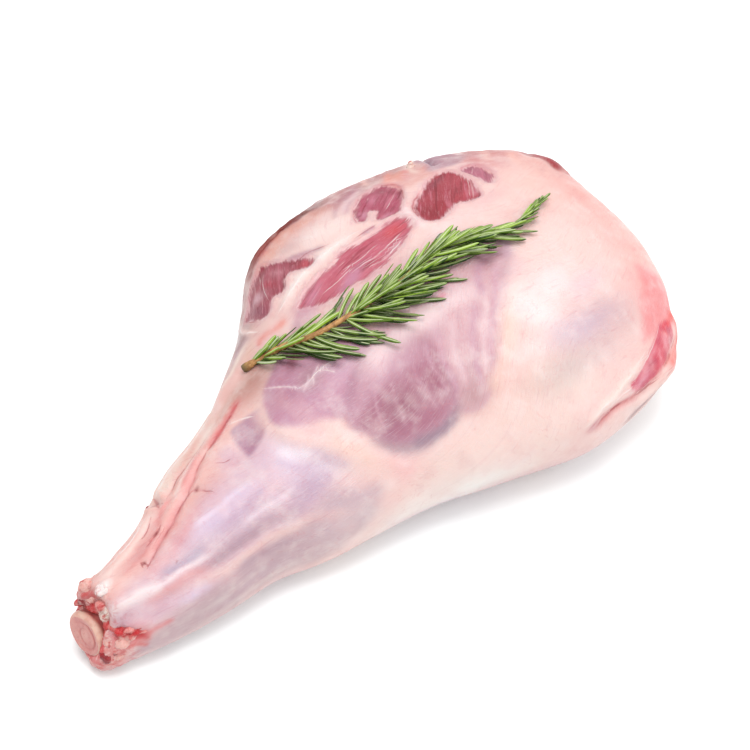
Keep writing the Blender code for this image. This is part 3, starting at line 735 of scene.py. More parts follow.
# Bare muscle: signed distances, with the colour and grain of each
MUSCLES = (
    # outline, colour, grain direction in degrees
    ([(49.4, 8.9), (52, 9.8), (54.6, 10.1), (56.8, 9.8), (59, 10.6), (63.2, 10.6), (66.6, 11.2), (69.2, 11.2),
      (69.4, 8.9), (66.4, 7.2), (64.2, 6.0), (61.6, 5.0), (58.7, 4.4), (56.5, 5.0), (53.7, 5.2), (51.4, 6.6)],
     (206, 106, 124), 9),
    ([(70.8, 8.8), (71.4, 11.0), (72.8, 12.6), (75.1, 14.0), (77.6, 15.0), (79.9, 15.7), (81.3, 14.6), (81.6, 12.5),
      (81.2, 10.0), (80.2, 7.5), (78.3, 7.4), (76.8, 8.4), (74.7, 7.9), (72.3, 7.3)], (178, 66, 80), 50),
    ([(64.8, 14.6), (66.0, 16.7), (68.3, 18.7), (70.5, 19.6), (72.6, 19.9), (73.6, 18.6), (73.6, 16.5), (71.7, 13.9),
      (70.1, 12.4), (68.2, 12.2), (66.9, 12.9), (68.0, 14.5), (67.3, 15.3), (66.0, 14.0)], (184, 84, 108), 34),
    ([(45.9, 17.9), (47.6, 18.8), (50.2, 20.1), (52.6, 20.4), (53.6, 18.2), (54.6, 16.0), (56.0, 14.4), (56.1, 12.4),
      (54.8, 12.3), (53.6, 13.6), (52.2, 14.2), (50.6, 12.9), (49.2, 14.0), (47.6, 13.2), (46.2, 13.6),
      (45.8, 15.6)], (172, 84, 98), 50),
    ([(82.6, 13.9), (83.4, 14.7), (84.9, 14.4), (85.6, 13.0), (85.4, 10.6), (84.0, 8.8), (82.9, 9.2), (82.7, 11.4)],
     (188, 104, 126), 60),
)
meat = np.full(WU.shape, -9.0)
flesh = np.zeros(skin.shape) + level(200, 100, 118)
grain = np.full(WU.shape, -14.0)
for shape, colour, direction in MUSCLES:
    inside = outline(shape)
    closer = inside > meat
    flesh = np.where(closer[..., None], level(*colour), flesh)
    grain = np.where(closer & (inside > -0.4), direction, grain)
    meat = np.maximum(meat, inside)
for mask, colour, strength in (
    (blot(67.0, 9.6, 2.6, 1.3, 14), (216, 78, 86), 0.85),
    (blot(62.0, 10.0, 3.4, 0.7, 6), (196, 78, 100), 0.7),
    (blot(61.0, 7.4, 3.4, 0.9, 14), (212, 104, 126), 0.7),
    (blot(56.6, 5.8, 4.4, 1.1, 20), (204, 142, 168), 0.8),
    (blot(51.6, 8.4, 2.6, 1.0, 20), (206, 138, 160), 0.8),
    (blot(55.2, 8.6, 2.0, 0.8, 10), (196, 88, 110), 0.6),
    (blot(64.6, 6.8, 2.6, 0.6, 24), (238, 182, 192), 0.8),
    (blot(72.4, 9.4, 1.7, 1.7, 0), (150, 40, 52), 0.85),
    (blot(77.6, 14.0, 3.4, 0.8, 16), (146, 52, 70), 0.8),
    (blot(80.4, 8.8, 1.5, 1.4, 0), (206, 118, 132), 0.8),
    (blot(78.0, 9.2, 1.8, 0.8, 0), (198, 84, 96), 0.7),
    (blot(75.6, 9.6, 2.0, 0.9, 0), (164, 42, 54), 0.7),
    (blot(66.4, 15.4, 1.4, 1.4, 40), (214, 146, 168), 0.8),
    (blot(72.0, 18.6, 1.6, 1.0, -30), (158, 62, 82), 0.75),
    (blot(72.9, 16.6, 0.7, 1.6, 20), (150, 52, 70), 0.75),
    (blot(69.4, 17.4, 1.6, 0.6, 50), (206, 128, 150), 0.7),
    (blot(68.4, 12.8, 1.2, 0.5, 0), (222, 156, 176), 0.7),
    (blot(55.2, 13.2, 1.1, 1.1, 0), (206, 86, 98), 0.8),
    (blot(47.0, 15.2, 0.9, 2.4, 0), (150, 74, 96), 0.8),
    (blot(51.6, 19.2, 2.2, 0.9, 0), (158, 88, 94), 0.8),
    (blot(48.4, 17.4, 1.0, 1.6, 20), (214, 168, 176), 0.9),
    (blot(50.6, 16.2, 0.6, 2.0, 20), (186, 66, 84), 0.8),
    (blot(52.4, 16.4, 0.6, 1.8, 20), (206, 140, 150), 0.7),
    (blot(84.2, 13.8, 1.4, 0.7, -20), (168, 74, 100), 0.7),
):
    k = np.clip(mask * strength, 0, 1)[..., None]
    flesh = flesh * (1 - k) + level(*colour) * k


def fine_lines(lines):
    """Thin lines, drawn sharply by the material: signed distance, plain distance and half width of the nearest."""
    signed, plain, wide = np.full(WU.shape, 9.0), np.full(WU.shape, 9.0), np.full(WU.shape, 0.1)
    for width, points in lines:
        dist, at, hand = distances(smooth_path(points), 4.0)
        taper = 0.15 + 0.85 * ease(at / 0.22) * ease((1 - at) / 0.22)
        closer = dist < plain
        signed = np.where(closer, hand * dist, signed)
        wide = np.where(closer, width * taper, wide)
        plain = np.minimum(plain, dist)
    return np.stack([signed, plain, wide], -1)


dark_lines = fine_lines((
    # half width, path: the vein and its twigs
    (0.22, [(12.2, 0.1), (15, 1.1), (18, 2.1), (21.5, 3.1), (23.6, 3.9)]),
    (0.13, [(22.6, 3.5), (25.2, 4.7), (28.6, 6.4)]),
    (0.26, [(28.4, 6.3), (31, 7.2), (33.4, 7.8), (36.0, 8.1)]),
    (0.13, [(21.6, 3.2), (23.4, 3.2), (24.0, 2.4), (24.9, 0.6)]),
    (0.12, [(13.8, 2.4), (15.4, 2.5), (17.0, 3.0)]),
    (0.13, [(11.9, 0.6), (12.3, 1.3), (12.5, 0.2)]),
    (0.13, [(14.4, 4.2), (15.8, 4.6), (17.6, 5.6)]),
    (0.30, [(18.9, 5.5), (19.3, 6.4), (19.8, 7.8)]),
    (0.10, [(20.4, 5.5), (23.1, 7.0), (26.2, 7.8), (30.2, 8.8)]),
    (0.11, [(15.0, 2.9), (16.4, 3.0), (17.6, 3.4)]),
    (0.06, [(27.6, 3.5), (28.4, 2.8), (29.2, 2.6)]),
    # rims of muscle
    (0.20, [(71.9, 14.0), (73.5, 16.2), (74.0, 18.4), (72.8, 20.1)]),
    (0.16, [(70.7, 8.8), (71.2, 11.0), (72.8, 12.8), (75.4, 14.2)]),
    (0.12, [(82.2, 13.2), (83.3, 14.9), (85.2, 14.6)]),
    (0.11, [(62.2, 11.4), (64.4, 11.9), (66.2, 12.1)]),
    (0.13, [(64.4, 13.8), (65.0, 15.6), (66.6, 17.6)]),
    (0.13, [(65.9, 15.0), (66.8, 16.2), (68.4, 17.4)]),
    (0.12, [(45.7, 14.0), (45.5, 16.4), (46.4, 18.4)]),
    (0.10, [(53.4, 15.2), (55.4, 14.8), (57.4, 14.2), (59.2, 13.2)]),
    (0.16, [(82.5, 24.8), (82.0, 21.6), (81.0, 18.4)]),
    # the far edge
    (0.30, [(46.6, 20.6), (49, 23.0), (52, 24.4), (55, 25.1), (58, 25.6), (61, 25.8), (65, 26.2)]),
    (0.11, [(49.4, 20.8), (53, 22.2), (57, 23.4), (62, 24.0)]),
    # the rump's creases, darkened as painted shade
    (0.16, [(67.1, -30.7), (69.7, -30.1), (72.5, -29.6), (76.7, -29.7), (80.2, -30.1)]),
    (0.12, [(66.4, -30.2), (68.8, -29.5), (71.4, -29.2)]),
    (0.12, [(77.4, -29.9), (80.4, -29.6), (84.0, -28.6), (86.8, -27.0)]),
    (0.13, [(80.6, -30.9), (84.0, -30.2), (87.0, -28.6)]),
    (0.20, [(74.3, -29.4), (76.0, -29.1), (78.3, -29.8), (81.6, -29.2), (84.6, -28.0)]),
    (0.14, [(70.3, -29.8), (73.2, -29.3), (75.4, -29.6)]),
))
pale_lines = fine_lines((
    (0.20, [(66.1, -29.2), (68.3, -28.7), (71.5, -27.7), (75.6, -26.3), (79.4, -25.3)]),
    (0.12, [(70.0, -28.9), (73.0, -28.2), (75.4, -28.0)]),
    (0.10, [(75.0, -27.5), (77.0, -26.7), (79.9, -26.0), (82.8, -24.8), (84.5, -23.8)]),
    (0.08, [(40.6, 1.8), (42.2, 0.9), (44.6, 0.5), (47.0, -0.6), (49.0, -1.2)]),
    (0.05, [(42.6, -0.2), (43.6, 0.7), (45.4, 1.0)]),
    (0.05, [(44.4, 0.5), (45.4, -0.6), (46.0, -1.8)]),
    (0.10, [(38.6, 6.2), (40.2, 3.4), (41.2, 1.4)]),
    (0.15, [(32.7, 6.6), (33.9, 5.8), (35.4, 4.5)]),
    (0.20, [(19.8, 7.3), (23, 8.6), (27, 9.6), (32, 11.2)]),
    (0.16, [(9.0, 4.4), (13, 4.9), (17.4, 6.2)]),
    (0.26, [(47.6, 11.3), (53, 12.0), (58, 12.2), (63.4, 12.5)]),
    (0.12, [(67.4, 8.6), (64.8, 7.8), (61.4, 6.8), (57.6, 6.6)]),
    (0.10, [(66.0, 7.4), (62.6, 5.9), (59.6, 5.6)]),
    (0.09, [(63.6, 8.8), (60.6, 8.0), (57.4, 8.0)]),
    (0.08, [(58.4, 7.4), (55.4, 7.0), (52.8, 7.4)]),
    (0.15, [(44.4, 12.6), (44.2, 16.0), (45.2, 19.4)]),
    (0.06, [(48.6, 14.6), (49.6, 16.6), (51.4, 18.6)]),
    (0.07, [(78.8, 8.4), (80.2, 10.0), (81.4, 11.6)]),
    (0.06, [(69.2, 14.0), (70.8, 15.2), (72.6, 16.4)]),
))
spread = -14 + 62 * ease((ALONG - 40) / 22) - 26 * ease((ALONG - 66) / 16)
grain = np.where(meat <= -0.4, spread, grain)


# ---------------------------------------------------------------- relief

lift = np.zeros(WU.shape)  # hundredths along the normal


def press(mask, amount):
    """Raise the skin where the mask is, or sink it with a negative amount."""
    global lift
    lift = lift + mask * amount


def ledge(points, drop, wide=0.5):
    """A step along a line: the left side stands higher by drop."""
    dist, at, hand = distances(smooth_path(points), 5.0)
    taper = ease(at / 0.2) * ease((1 - at) / 0.2)
    rise = ease(hand * dist / wide * 0.5 + 0.5) * np.exp(-((dist / 3.0) ** 2))
    press(rise * taper, drop)


for lines, amount in ((dark_lines, -0.10), (pale_lines, 0.10)):
    press(np.exp(-((lines[..., 1] / (lines[..., 2] + 0.22)) ** 2)) * np.minimum(1, lines[..., 2] / 0.15), amount)
bare = ease(meat / 0.55 + 0.6)  # 1 inside bare muscle
press(bare, -0.24)
press(np.exp(-(((meat + 0.55) / 0.5) ** 2)), 0.07)
press(noise(skin / U, 7.0, 11, 2), 0.16)
press(noise(skin / U, 2.2, 12, 2) * UPPER, 0.05)

# Lobes and their edges
press(patch(RIGHT_LOBE, 3.6), 0.16)
press(patch(LEFT_LOBE, 3.0), 0.14)
press(stroke([(37.0, 4.6), (36.0, 1.4), (38.0, -2.2), (41.2, -4.8), (42.4, -8.0), (43.8, -12.6), (46.6, -16.4),
              (51.0, -18.8), (55.4, -17.2)], 0.7, 0.12), -0.14)
press(blot(33.4, 3.0, 3.0, 1.8, 8), -0.14)
press(blot(72.6, -1.4, 3.2, 1.6, 8), -0.30)
ledge([(58.0, -19.6), (61.2, -16.2), (65.2, -12.4), (69.2, -8.6), (72.4, -5.0), (76.0, -2.4)], -0.34, 0.9)
press(stroke([(70.6, -8.6), (66.6, -12.4), (62.0, -16.8)], 1.5), 0.16)
press(stroke([(57.4, -14.6), (59.0, -10.0), (59.4, -6.2)], 0.7), -0.14)
press(stroke([(60.4, -15.6), (63.0, -11.6), (66.4, -7.4)], 0.5), -0.09)
press(stroke([(62.6, -14.4), (65.6, -10.6), (69.4, -6.2)], 0.45), -0.08)

# The shank's tendons, valleys and the calf's border
press(stroke([(9, 5.4), (16, 6.8), (24, 9.4), (32, 11.8), (39, 13.6)], 1.5, 0.15), 0.30)
press(stroke([(6, 2.0), (12, 2.9), (20, 5.4), (28, 8.4), (36, 10.2)], 0.8, 0.2), -0.22)
press(stroke([(13, 0.7), (18, 2.1), (25, 4.5), (31, 7.2), (36, 8.4)], 0.5, 0.2), -0.20)
press(stroke([(12, 1.9), (18, 3.3), (25, 5.8)], 0.55), 0.10)
press(stroke([(5.4, -0.4), (8, -1.4), (12, -2.8), (17, -4.2)], 0.95, 0.2), 0.30)
press(stroke([(7, -3.6), (12, -4.6), (17, -5.3), (24, -7.0), (31, -9.0)], 0.8), -0.20)
press(stroke([(16, -6.4), (22, -8.0), (30, -10.0), (36, -13.2)], 0.9), 0.16)
press(stroke([(12, -8.8), (20, -10.2), (28, -12.6)], 1.0), -0.12)
press(stroke([(12, -1.2), (17, -2.6), (22, -3.6), (29, -4.6)], 0.8), -0.12)
press(blot(25, -1.8, 7, 1.5, -4), 0.14)
press(stroke([(30.2, -4.8), (30.8, -6.2), (31.6, -7.8)], 0.28), -0.12)
press(stroke([(36.0, 4.0), (36.4, -1.0), (39.4, -6.6), (42.0, -12.0), (45.6, -17.6)], 1.2, 0.15), 0.22)
press(stroke([(35.0, 1.8), (34.6, -2.6), (37.0, -7.8), (40.0, -13.4)], 1.0, 0.2), -0.16)
press(stroke([(23.2, 4.8), (25.6, 5.8), (27.8, 7.0)], 0.5), 0.10)
press(stroke([(23.3, 3.2), (24.0, 2.2), (24.9, 0.6)], 0.35), -0.16)

# The flap of tendon sheath on the far edge, with its dark notch
press(blot(19.4, 6.8, 0.6, 1.3, 15), -0.45)
press(stroke([(17.9, 7.6), (18.2, 6.0), (19.0, 5.0), (20.2, 5.6), (20.6, 7.6)], 0.40, 0.1), 0.34)
press(stroke([(20.0, 7.8), (22.0, 8.9), (26.0, 9.9), (30.4, 11.2), (33.4, 11.8)], 0.5, 0.1), 0.30)
press(stroke([(20.6, 5.6), (23.4, 7.0), (26.4, 7.9), (30.2, 8.9)], 0.4), -0.18)

# The ham, its fat ridges and the rump's cut
press(stroke([(66.1, -29.2), (68.3, -28.7), (71.5, -27.7), (75.6, -26.3), (79.4, -25.3)], 0.6), 0.26)
press(stroke([(67.1, -30.7), (69.7, -30.1), (72.5, -29.6), (76.7, -29.7), (80.2, -30.1)], 0.5), -0.30)
press(stroke([(74.5, -31.0), (80, -31.4), (85, -31.0)], 0.8), 0.22)
press(patch(RUMP_CUT, 1.6), -0.05)
press(patch(RUMP_CUT, 1.0) * noise(skin / U, 1.3, 18, 2), 0.16)
press(stroke(RUMP_LOBE, 0.8, 0.12), 0.34)
press(stroke([(77.4, -6.0), (80.6, -13.0), (80.2, -20.0)], 2.0), -0.10)
press(stroke([(94.0, 15.6), (94.2, 12), (94.3, 9), (94.2, 6)], 0.45), -0.25)
press(stroke([(95.3, 14.8), (95.6, 11.5), (95.6, 8.2), (95.4, 5.6)], 0.7, 0.1), 0.30)
press(stroke([(60.0, 12.2), (56.0, 12.2), (52, 11.4), (47, 11.2)], 0.7), 0.12)
press(stroke([(70.2, 14.4), (70.2, 10.0), (69.8, 6.0)], 0.9), 0.10)
press(stroke([(45.7, 13.0), (45.3, 16.4), (46.6, 19.0)], 0.4), 0.14)

# The outline seen from above
press(blot(54, 24.0, 5.0, 2.6, 20), 0.50)
press(blot(28, 12.6, 8.0, 3.0, 22), -0.32)
press(blot(44, 19.0, 4.0, 3.0, 35), -0.30)
press(blot(92, -1.0, 4.5, 7.0, 0), -0.50)
press(blot(94.6, 10.0, 1.8, 3.4, 0), 0.55)
press(blot(87.6, -27.4, 3.0, 2.6, 0), 0.45)
press(blot(83, -30.6, 4.0, 1.8, 10), 0.65)
press(blot(33, -19.4, 6.0, 2.4, -25), 0.35)
press(blot(53, -30.6, 8.0, 2.6, -22), -0.35)
rough_edge = ease((ROUND - 17.5) / 4.0) * UPPER
press(rough_edge * noise(skin / U, 1.6, 17, 3, 0.6), 0.22)
press(stroke([(80.2, 18.8), (81.3, 21.8), (81.8, 25.8)], 0.45, 0.1), 0.25)
press(stroke([(81.2, 18.4), (82.4, 21.4), (82.9, 25.4)], 0.35, 0.1), -0.65)
press(blot(85.4, 22.6, 2.6, 2.2, -10), 0.28)

# Torn tissue at the shank's end
ragged = ease((9.0 - ALONG) / 5.0)
press(ragged * noise(skin / U, 1.5, 13, 3, 0.6), 0.40)
press(blot(7.4, 2.1, 0.9, 0.7, 30), 0.36)
press(stroke([(5.6, 5.0), (5.7, 2.0), (5.8, -1.4)], 0.45), -0.34)
press(stroke([(5.2, -2.2), (6.6, -4.2), (8.4, -7.4)], 0.45), -0.30)
press(stroke([(6.2, -2.6), (7.8, -4.6), (9.6, -6.6)], 0.5), 0.20)
press(blot(7.2, -6.0, 1.6, 0.9, -30), 0.10)
mouth = np.arange(len(skin))[:, None] < MOUTH_ROWS
lift = np.where(mouth, 0.0, lift * ease((np.arange(len(skin))[:, None] - MOUTH_ROWS) / 3.0))

# Where thin membrane lies over muscle and shows its threads
veil = 0.30 + 0.7 * np.maximum.reduce([patch(MEMBRANE, 3), patch(LEFT_LOBE, 3), patch(RIGHT_LOBE, 3),
                                       0.6 * blot(24, -5, 16, 5, -14)])

# Grain along which the fibres run, as coordinates for stretched noise
turn = np.radians(grain)
from_middle = (ALONG - 52, ROUND + 8)
GRAIN_A = np.cos(turn) * from_middle[0] + np.sin(turn) * from_middle[1]
GRAIN_B = -np.sin(turn) * from_middle[0] + np.cos(turn) * from_middle[1]
fibres = np.stack([GRAIN_A * 0.16, GRAIN_B * 1.6, np.where(meat > -0.4, grain * 0.7, 0.0)], -1)
press(bare * noise(fibres, 1.0, 15, 2), 0.07)

# Under the leg and at its far side nothing is painted above: fat with patches of membrane
UNDER = 1 - UPPER
place = skin / U
clouds = ease(noise(place * np.array([0.6, 1.0, 1.0]), 7.0, 21, 3) * 1.3 + 0.35)
tint(UNDER * clouds, LAVENDER, 0.6)
tint(UNDER * ease(noise(place * np.array([0.5, 1.0, 1.0]), 5.0, 22, 3) * 1.6 - 0.25), MAUVE, 0.55)
tint(UNDER * ease(noise(place, 9.0, 23, 2) * 1.4), BLUSH, 0.5)
tint(ease(noise(place, 3.0, 24, 2) * 1.3 - 0.1), BLUSH, 0.25)
tint(ease(noise(place, 2.0, 25, 2) * 1.3 - 0.1), WHITE, 0.22)

skin = skin + normals * (lift * U)[..., None]
skin[..., 2] = np.maximum(skin[..., 2], 0.0)


# ---------------------------------------------------------------- making objects

def mesh_object(name, points, faces, smooth=True):
    """An object from points and faces."""
    mesh = bpy.data.meshes.new(name)
    mesh.from_pydata([tuple(p) for p in points], [], faces)
    mesh.validate()
    if smooth:
        mesh.polygons.foreach_set("use_smooth", [True] * len(mesh.polygons))
    mesh.update()
    thing = bpy.data.objects.new(name, mesh)
    bpy.context.scene.collection.objects.link(thing)
    return thing


def point_data(thing, name, values):
    """Store a number, a vector or a colour at each point."""
    values = np.asarray(values, np.float32)
    if values.ndim == 1:
        layer = thing.data.attributes.new(name, "FLOAT", "POINT")
        layer.data.foreach_set("value", values)
    elif name.startswith("tint"):
        layer = thing.data.attributes.new(name, "FLOAT_COLOR", "POINT")
        full = np.concatenate([values, np.ones((len(values), 1), np.float32)], 1)
        layer.data.foreach_set("color", full.ravel())
    else:
        layer = thing.data.attributes.new(name, "FLOAT_VECTOR", "POINT")
        layer.data.foreach_set("vector", values.ravel())


rows, columns = skin.shape[:2]
points = skin.reshape(-1, 3)
faces = []
for i in range(rows - 1):
    for j in range(columns):
        k = (j + 1) % columns
        faces.append((i * columns + j, (i + 1) * columns + j, (i + 1) * columns + k, i * columns + k))
ends = np.array([skin[0].mean(0), skin[-1].mean(0)])
points = np.vstack([points, ends])
for j in range(columns):
    k = (j + 1) % columns
    faces.append((rows * columns, j, k))
    faces.append((rows * columns + 1, (rows - 1) * columns + k, (rows - 1) * columns + j))


def with_ends(values):
    """Grid values as a flat list, with the two end points' values added."""
    flat = values.reshape(rows * columns, -1)
    flat = np.vstack([flat, flat[:columns].mean(0), flat[-columns:].mean(0)])
    return flat[:, 0] if flat.shape[1] == 1 else flat


leg = mesh_object("leg_meat", points, faces)
point_data(leg, "tint", with_ends(paint))
point_data(leg, "meat", with_ends(meat))
point_data(leg, "tint_flesh", with_ends(flesh))
point_data(leg, "dark_lines", with_ends(dark_lines))
point_data(leg, "pale_lines", with_ends(pale_lines))
point_data(leg, "fibres", with_ends(fibres))
point_data(leg, "ragged", with_ends(ragged))
point_data(leg, "veil", with_ends(veil))
point_data(leg, "sheen", with_ends(0.5 - 0.5 * ease((8.0 - inside_edge) / 2.5) * rim_long))


# ---------------------------------------------------------------- materials

class Net:
    """A material's node tree, built by short calls."""

    def __init__(self, name, **settings):
        self.material = bpy.data.materials.new(name)
        self.material.use_nodes = True
        self.nodes = self.material.node_tree.nodes
        self.links = self.material.node_tree.links
        self.shader = self.nodes["Principled BSDF"]
        for key, value in settings.items():
            self.shader.inputs[key.replace("_", " ")].default_value = value

    def join(self, socket, value):
        if isinstance(value, bpy.types.NodeSocket):
            self.links.new(value, socket)
        elif value is not None:
            if isinstance(value, np.ndarray):
                value = (*value, 1.0) if len(socket.default_value) == 4 else tuple(value)
            socket.default_value = value

    def attr(self, name, kind="Fac"):
        node = self.nodes.new("ShaderNodeAttribute")
        node.attribute_name = name
        return node.outputs[kind]

    def place(self):
        return self.nodes.new("ShaderNodeTexCoord").outputs["Object"]

    def math(self, kind, a, b=None, c=None, clamp=False):
        node = self.nodes.new("ShaderNodeMath")
        node.operation = kind
        node.use_clamp = clamp
        for socket, value in zip(node.inputs, (a, b, c)):
            self.join(socket, value)
        return node.outputs[0]

    def span(self, value, low, high, out_low=0.0, out_high=1.0):
        node = self.nodes.new("ShaderNodeMapRange")
        node.interpolation_type = "SMOOTHSTEP"
        for socket, item in zip(node.inputs, (value, low, high, out_low, out_high)):
            self.join(socket, item)
        return node.outputs[0]

    def noise(self, vector, scale, detail=3.0, rough=0.55, stretch=None, warp=0.0):
        if stretch is not None:
            mapping = self.nodes.new("ShaderNodeMapping")
            mapping.inputs["Scale"].default_value = stretch
            self.links.new(vector, mapping.inputs["Vector"])
            vector = mapping.outputs[0]
        node = self.nodes.new("ShaderNodeTexNoise")
        self.join(node.inputs["Vector"], vector)
        self.join(node.inputs["Scale"], scale)
        self.join(node.inputs["Detail"], detail)
        self.join(node.inputs["Roughness"], rough)
        self.join(node.inputs["Distortion"], warp)
        return node.outputs["Fac"]

    def mix(self, fac, a, b, blend="MIX"):
        node = self.nodes.new("ShaderNodeMix")
        node.data_type = "RGBA"
        node.blend_type = blend
        self.join(node.inputs[0], fac)
        self.join(node.inputs[6], a)
        self.join(node.inputs[7], b)
        return node.outputs[2]

    def bump(self, height, distance, strength=1.0, under=None):
        node = self.nodes.new("ShaderNodeBump")
        self.join(node.inputs["Height"], height)
        node.inputs["Distance"].default_value = distance
        node.inputs["Strength"].default_value = strength
        if under is not None:
            self.links.new(under, node.inputs["Normal"])
        return node.outputs[0]

    def finish(self, colour, rough=None, normal=None):
        self.join(self.shader.inputs["Base Color"], colour)
        self.join(self.shader.inputs["Roughness"], rough)
        if normal is not None:
            self.links.new(normal, self.shader.inputs["Normal"])
        return self.material


def lamb_material():
    """Fat and membrane tinted by the painted layer, and bare muscle with marbling and fibres."""
    net = Net("lamb_meat", Subsurface_Weight=0.25, Subsurface_Scale=0.004, IOR=1.42)
    net.shader.inputs["Subsurface Radius"].default_value = (1.0, 0.45, 0.35)
    net.links.new(net.attr("sheen"), net.shader.inputs["Specular IOR Level"])
    place = net.place()
    painted = net.attr("tint", "Color")
    fibre_place = net.attr("fibres", "Vector")
    meat_edge = net.attr("meat")
    bare = net.attr("tint_flesh", "Color")
    cloud = net.noise(place, 55.0, 4.0, 0.6)
    fine = net.noise(place, 260.0, 4.0, 0.65)
    thread = net.noise(fibre_place, 1.6, 4.0, 0.6, warp=0.4)
    strands = net.noise(fibre_place, 4.5, 3.0, 0.6, warp=0.3)

    # fat and membrane
    pale = net.mix(net.span(cloud, 0.52, 0.72, 0.0, 0.26), painted, level(255, 240, 236))
    pale = net.mix(net.span(cloud, 0.48, 0.26, 0.0, 0.45), pale, np.array((0.86, 0.70, 0.74)), "MULTIPLY")
    pale = net.mix(net.span(strands, 0.54, 0.72, 0.0, 0.17), pale, level(255, 236, 236))
    pale = net.mix(net.span(thread, 0.44, 0.30, 0.0, 0.40), pale, np.array((0.84, 0.66, 0.72)), "MULTIPLY")
    pale = net.mix(net.span(fine, 0.60, 0.74, 0.0, 0.30), pale, np.array((0.88, 0.66, 0.68)), "MULTIPLY")
    patchy = net.span(net.noise(place, 30.0, 3.0, 0.6), 0.44, 0.60)
    web = net.math("ABSOLUTE", net.math("SUBTRACT", net.noise(fibre_place, 0.55, 2.0, 0.5, warp=0.7), 0.5))
    web = net.math("MULTIPLY", net.span(web, 0.014, 0.001, 0.0, 0.14), patchy)
    pale = net.mix(net.math("MULTIPLY", web, net.attr("veil")), pale, level(255, 236, 236))
    hair = net.math("ABSOLUTE", net.math("SUBTRACT", net.noise(place, 42.0, 4.0, 0.6, warp=0.5), 0.5))
    hair = net.math("MULTIPLY", net.span(hair, 0.007, 0.001, 0.0, 0.18), net.span(patchy, 0.6, 0.2))
    pale = net.mix(hair, pale, level(216, 120, 128))

    # bare muscle
    muscle = net.mix(net.span(cloud, 0.40, 0.60, 0.0, 0.5), bare, np.array((0.80, 0.62, 0.66)), "MULTIPLY")
    streak = net.noise(fibre_place, 0.75, 3.0, 0.6, warp=0.5)
    muscle = net.mix(net.span(streak, 0.54, 0.70, 0.0, 0.50), muscle, level(222, 134, 152))
    muscle = net.mix(net.span(streak, 0.47, 0.34, 0.0, 0.70), muscle, np.array((0.62, 0.36, 0.42)), "MULTIPLY")
    muscle = net.mix(net.span(thread, 0.44, 0.30, 0.0, 0.75), muscle, np.array((0.66, 0.42, 0.48)), "MULTIPLY")
    muscle = net.mix(net.span(strands, 0.55, 0.72, 0.0, 0.30), muscle, level(238, 178, 186))
    marble = net.noise(fibre_place, 0.9, 5.0, 0.62, warp=1.1)
    muscle = net.mix(net.span(marble, 0.62, 0.70, 0.0, 0.36), muscle, level(246, 210, 212))
    edge = net.math("MULTIPLY_ADD", net.noise(fibre_place, 1.3, 4.0, 0.6, warp=0.8), 1.6, -0.8)
    edge = net.math("ADD", edge, net.math("MULTIPLY_ADD", net.noise(place, 130.0, 4.0, 0.6), 1.2, -0.6))
    edge = net.math("ADD", meat_edge, edge)
    veil = net.math("MULTIPLY_ADD", net.noise(fibre_place, 0.8, 4.0, 0.65, warp=0.6), 3.6, -1.8)
    veil = net.span(net.math("ADD", meat_edge, veil), -1.3, 0.6, 0.0, 0.5)
    colour = net.mix(veil, pale, level(216, 148, 166))
    colour = net.mix(net.span(edge, -0.12, 0.50), colour, muscle)
    rim = net.math("MULTIPLY", net.span(edge, -0.05, 0.15), net.span(edge, 0.55, 0.20))
    colour = net.mix(net.math("MULTIPLY", rim, 0.35), colour, np.array((0.62, 0.36, 0.42)), "MULTIPLY")

    # thin lines of vein, crease and white tissue
    shake = net.math("MULTIPLY_ADD", net.noise(place, 170.0, 3.0, 0.6), 0.24, -0.12)
    broken = net.span(net.noise(place, 85.0, 4.0, 0.65), 0.38, 0.60)
    marks = {}
    for name, reach in (("dark_lines", 2.4), ("pale_lines", 1.9)):
        parts = net.nodes.new("ShaderNodeSeparateXYZ")
        net.links.new(net.attr(name, "Vector"), parts.inputs[0])
        away = net.math("ABSOLUTE", net.math("ADD", parts.outputs[0], shake))
        away = net.math("DIVIDE", away, parts.outputs[2])
        gate = net.span(net.math("SUBTRACT", parts.outputs[1], parts.outputs[2]), 0.55, 0.35)
        halo = net.math("MULTIPLY", net.span(away, reach, 0.4), gate)
        core = net.math("MULTIPLY", net.span(away, 1.0, 0.3), gate)
        marks[name] = (halo, net.math("MULTIPLY", core, broken))
    halo, core = marks["dark_lines"]
    colour = net.mix(net.math("MULTIPLY", halo, 0.30), colour, np.array((0.88, 0.52, 0.56)), "MULTIPLY")
    colour = net.mix(net.math("MULTIPLY", core, 0.70), colour, np.array((0.66, 0.36, 0.38)), "MULTIPLY")
    halo, core = marks["pale_lines"]
    colour = net.mix(net.math("MULTIPLY", halo, 0.25), colour, level(250, 226, 224))
    colour = net.mix(net.math("MULTIPLY", core, 0.62), colour, level(254, 240, 236))
    ridge = net.math("SUBTRACT", marks["pale_lines"][1], marks["dark_lines"][1])
    scraps = net.noise(place, 210.0, 5.0, 0.7, stretch=(0.6, 1.0, 1.0), warp=0.5)
    torn = net.math("MULTIPLY", net.attr("ragged"), net.span(scraps, 0.50, 0.62))
    colour = net.mix(net.math("MULTIPLY", torn, 0.70), colour, level(212, 70, 70))
    torn = net.math("MULTIPLY", net.attr("ragged"), net.span(scraps, 0.46, 0.36))
    colour = net.mix(net.math("MULTIPLY", torn, 0.60), colour, level(252, 216, 208))

    rough = net.span(net.noise(place, 120.0, 3.0, 0.6), 0.35, 0.65, 0.30, 0.50)
    height = net.math("ADD", net.math("MULTIPLY", strands, 0.6), net.math("MULTIPLY", fine, 0.4))
    height = net.math("ADD", height, net.math("MULTIPLY", ridge, 0.5))
    normal = net.bump(height, 0.0007, 0.55)
    normal = net.bump(cloud, 0.0016, 0.35, normal)
    return net.finish(colour, rough, normal)


leg.data.materials.append(lamb_material())
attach(leg, "root")
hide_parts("leg")


# ---------------------------------------------------------------- the shank bone

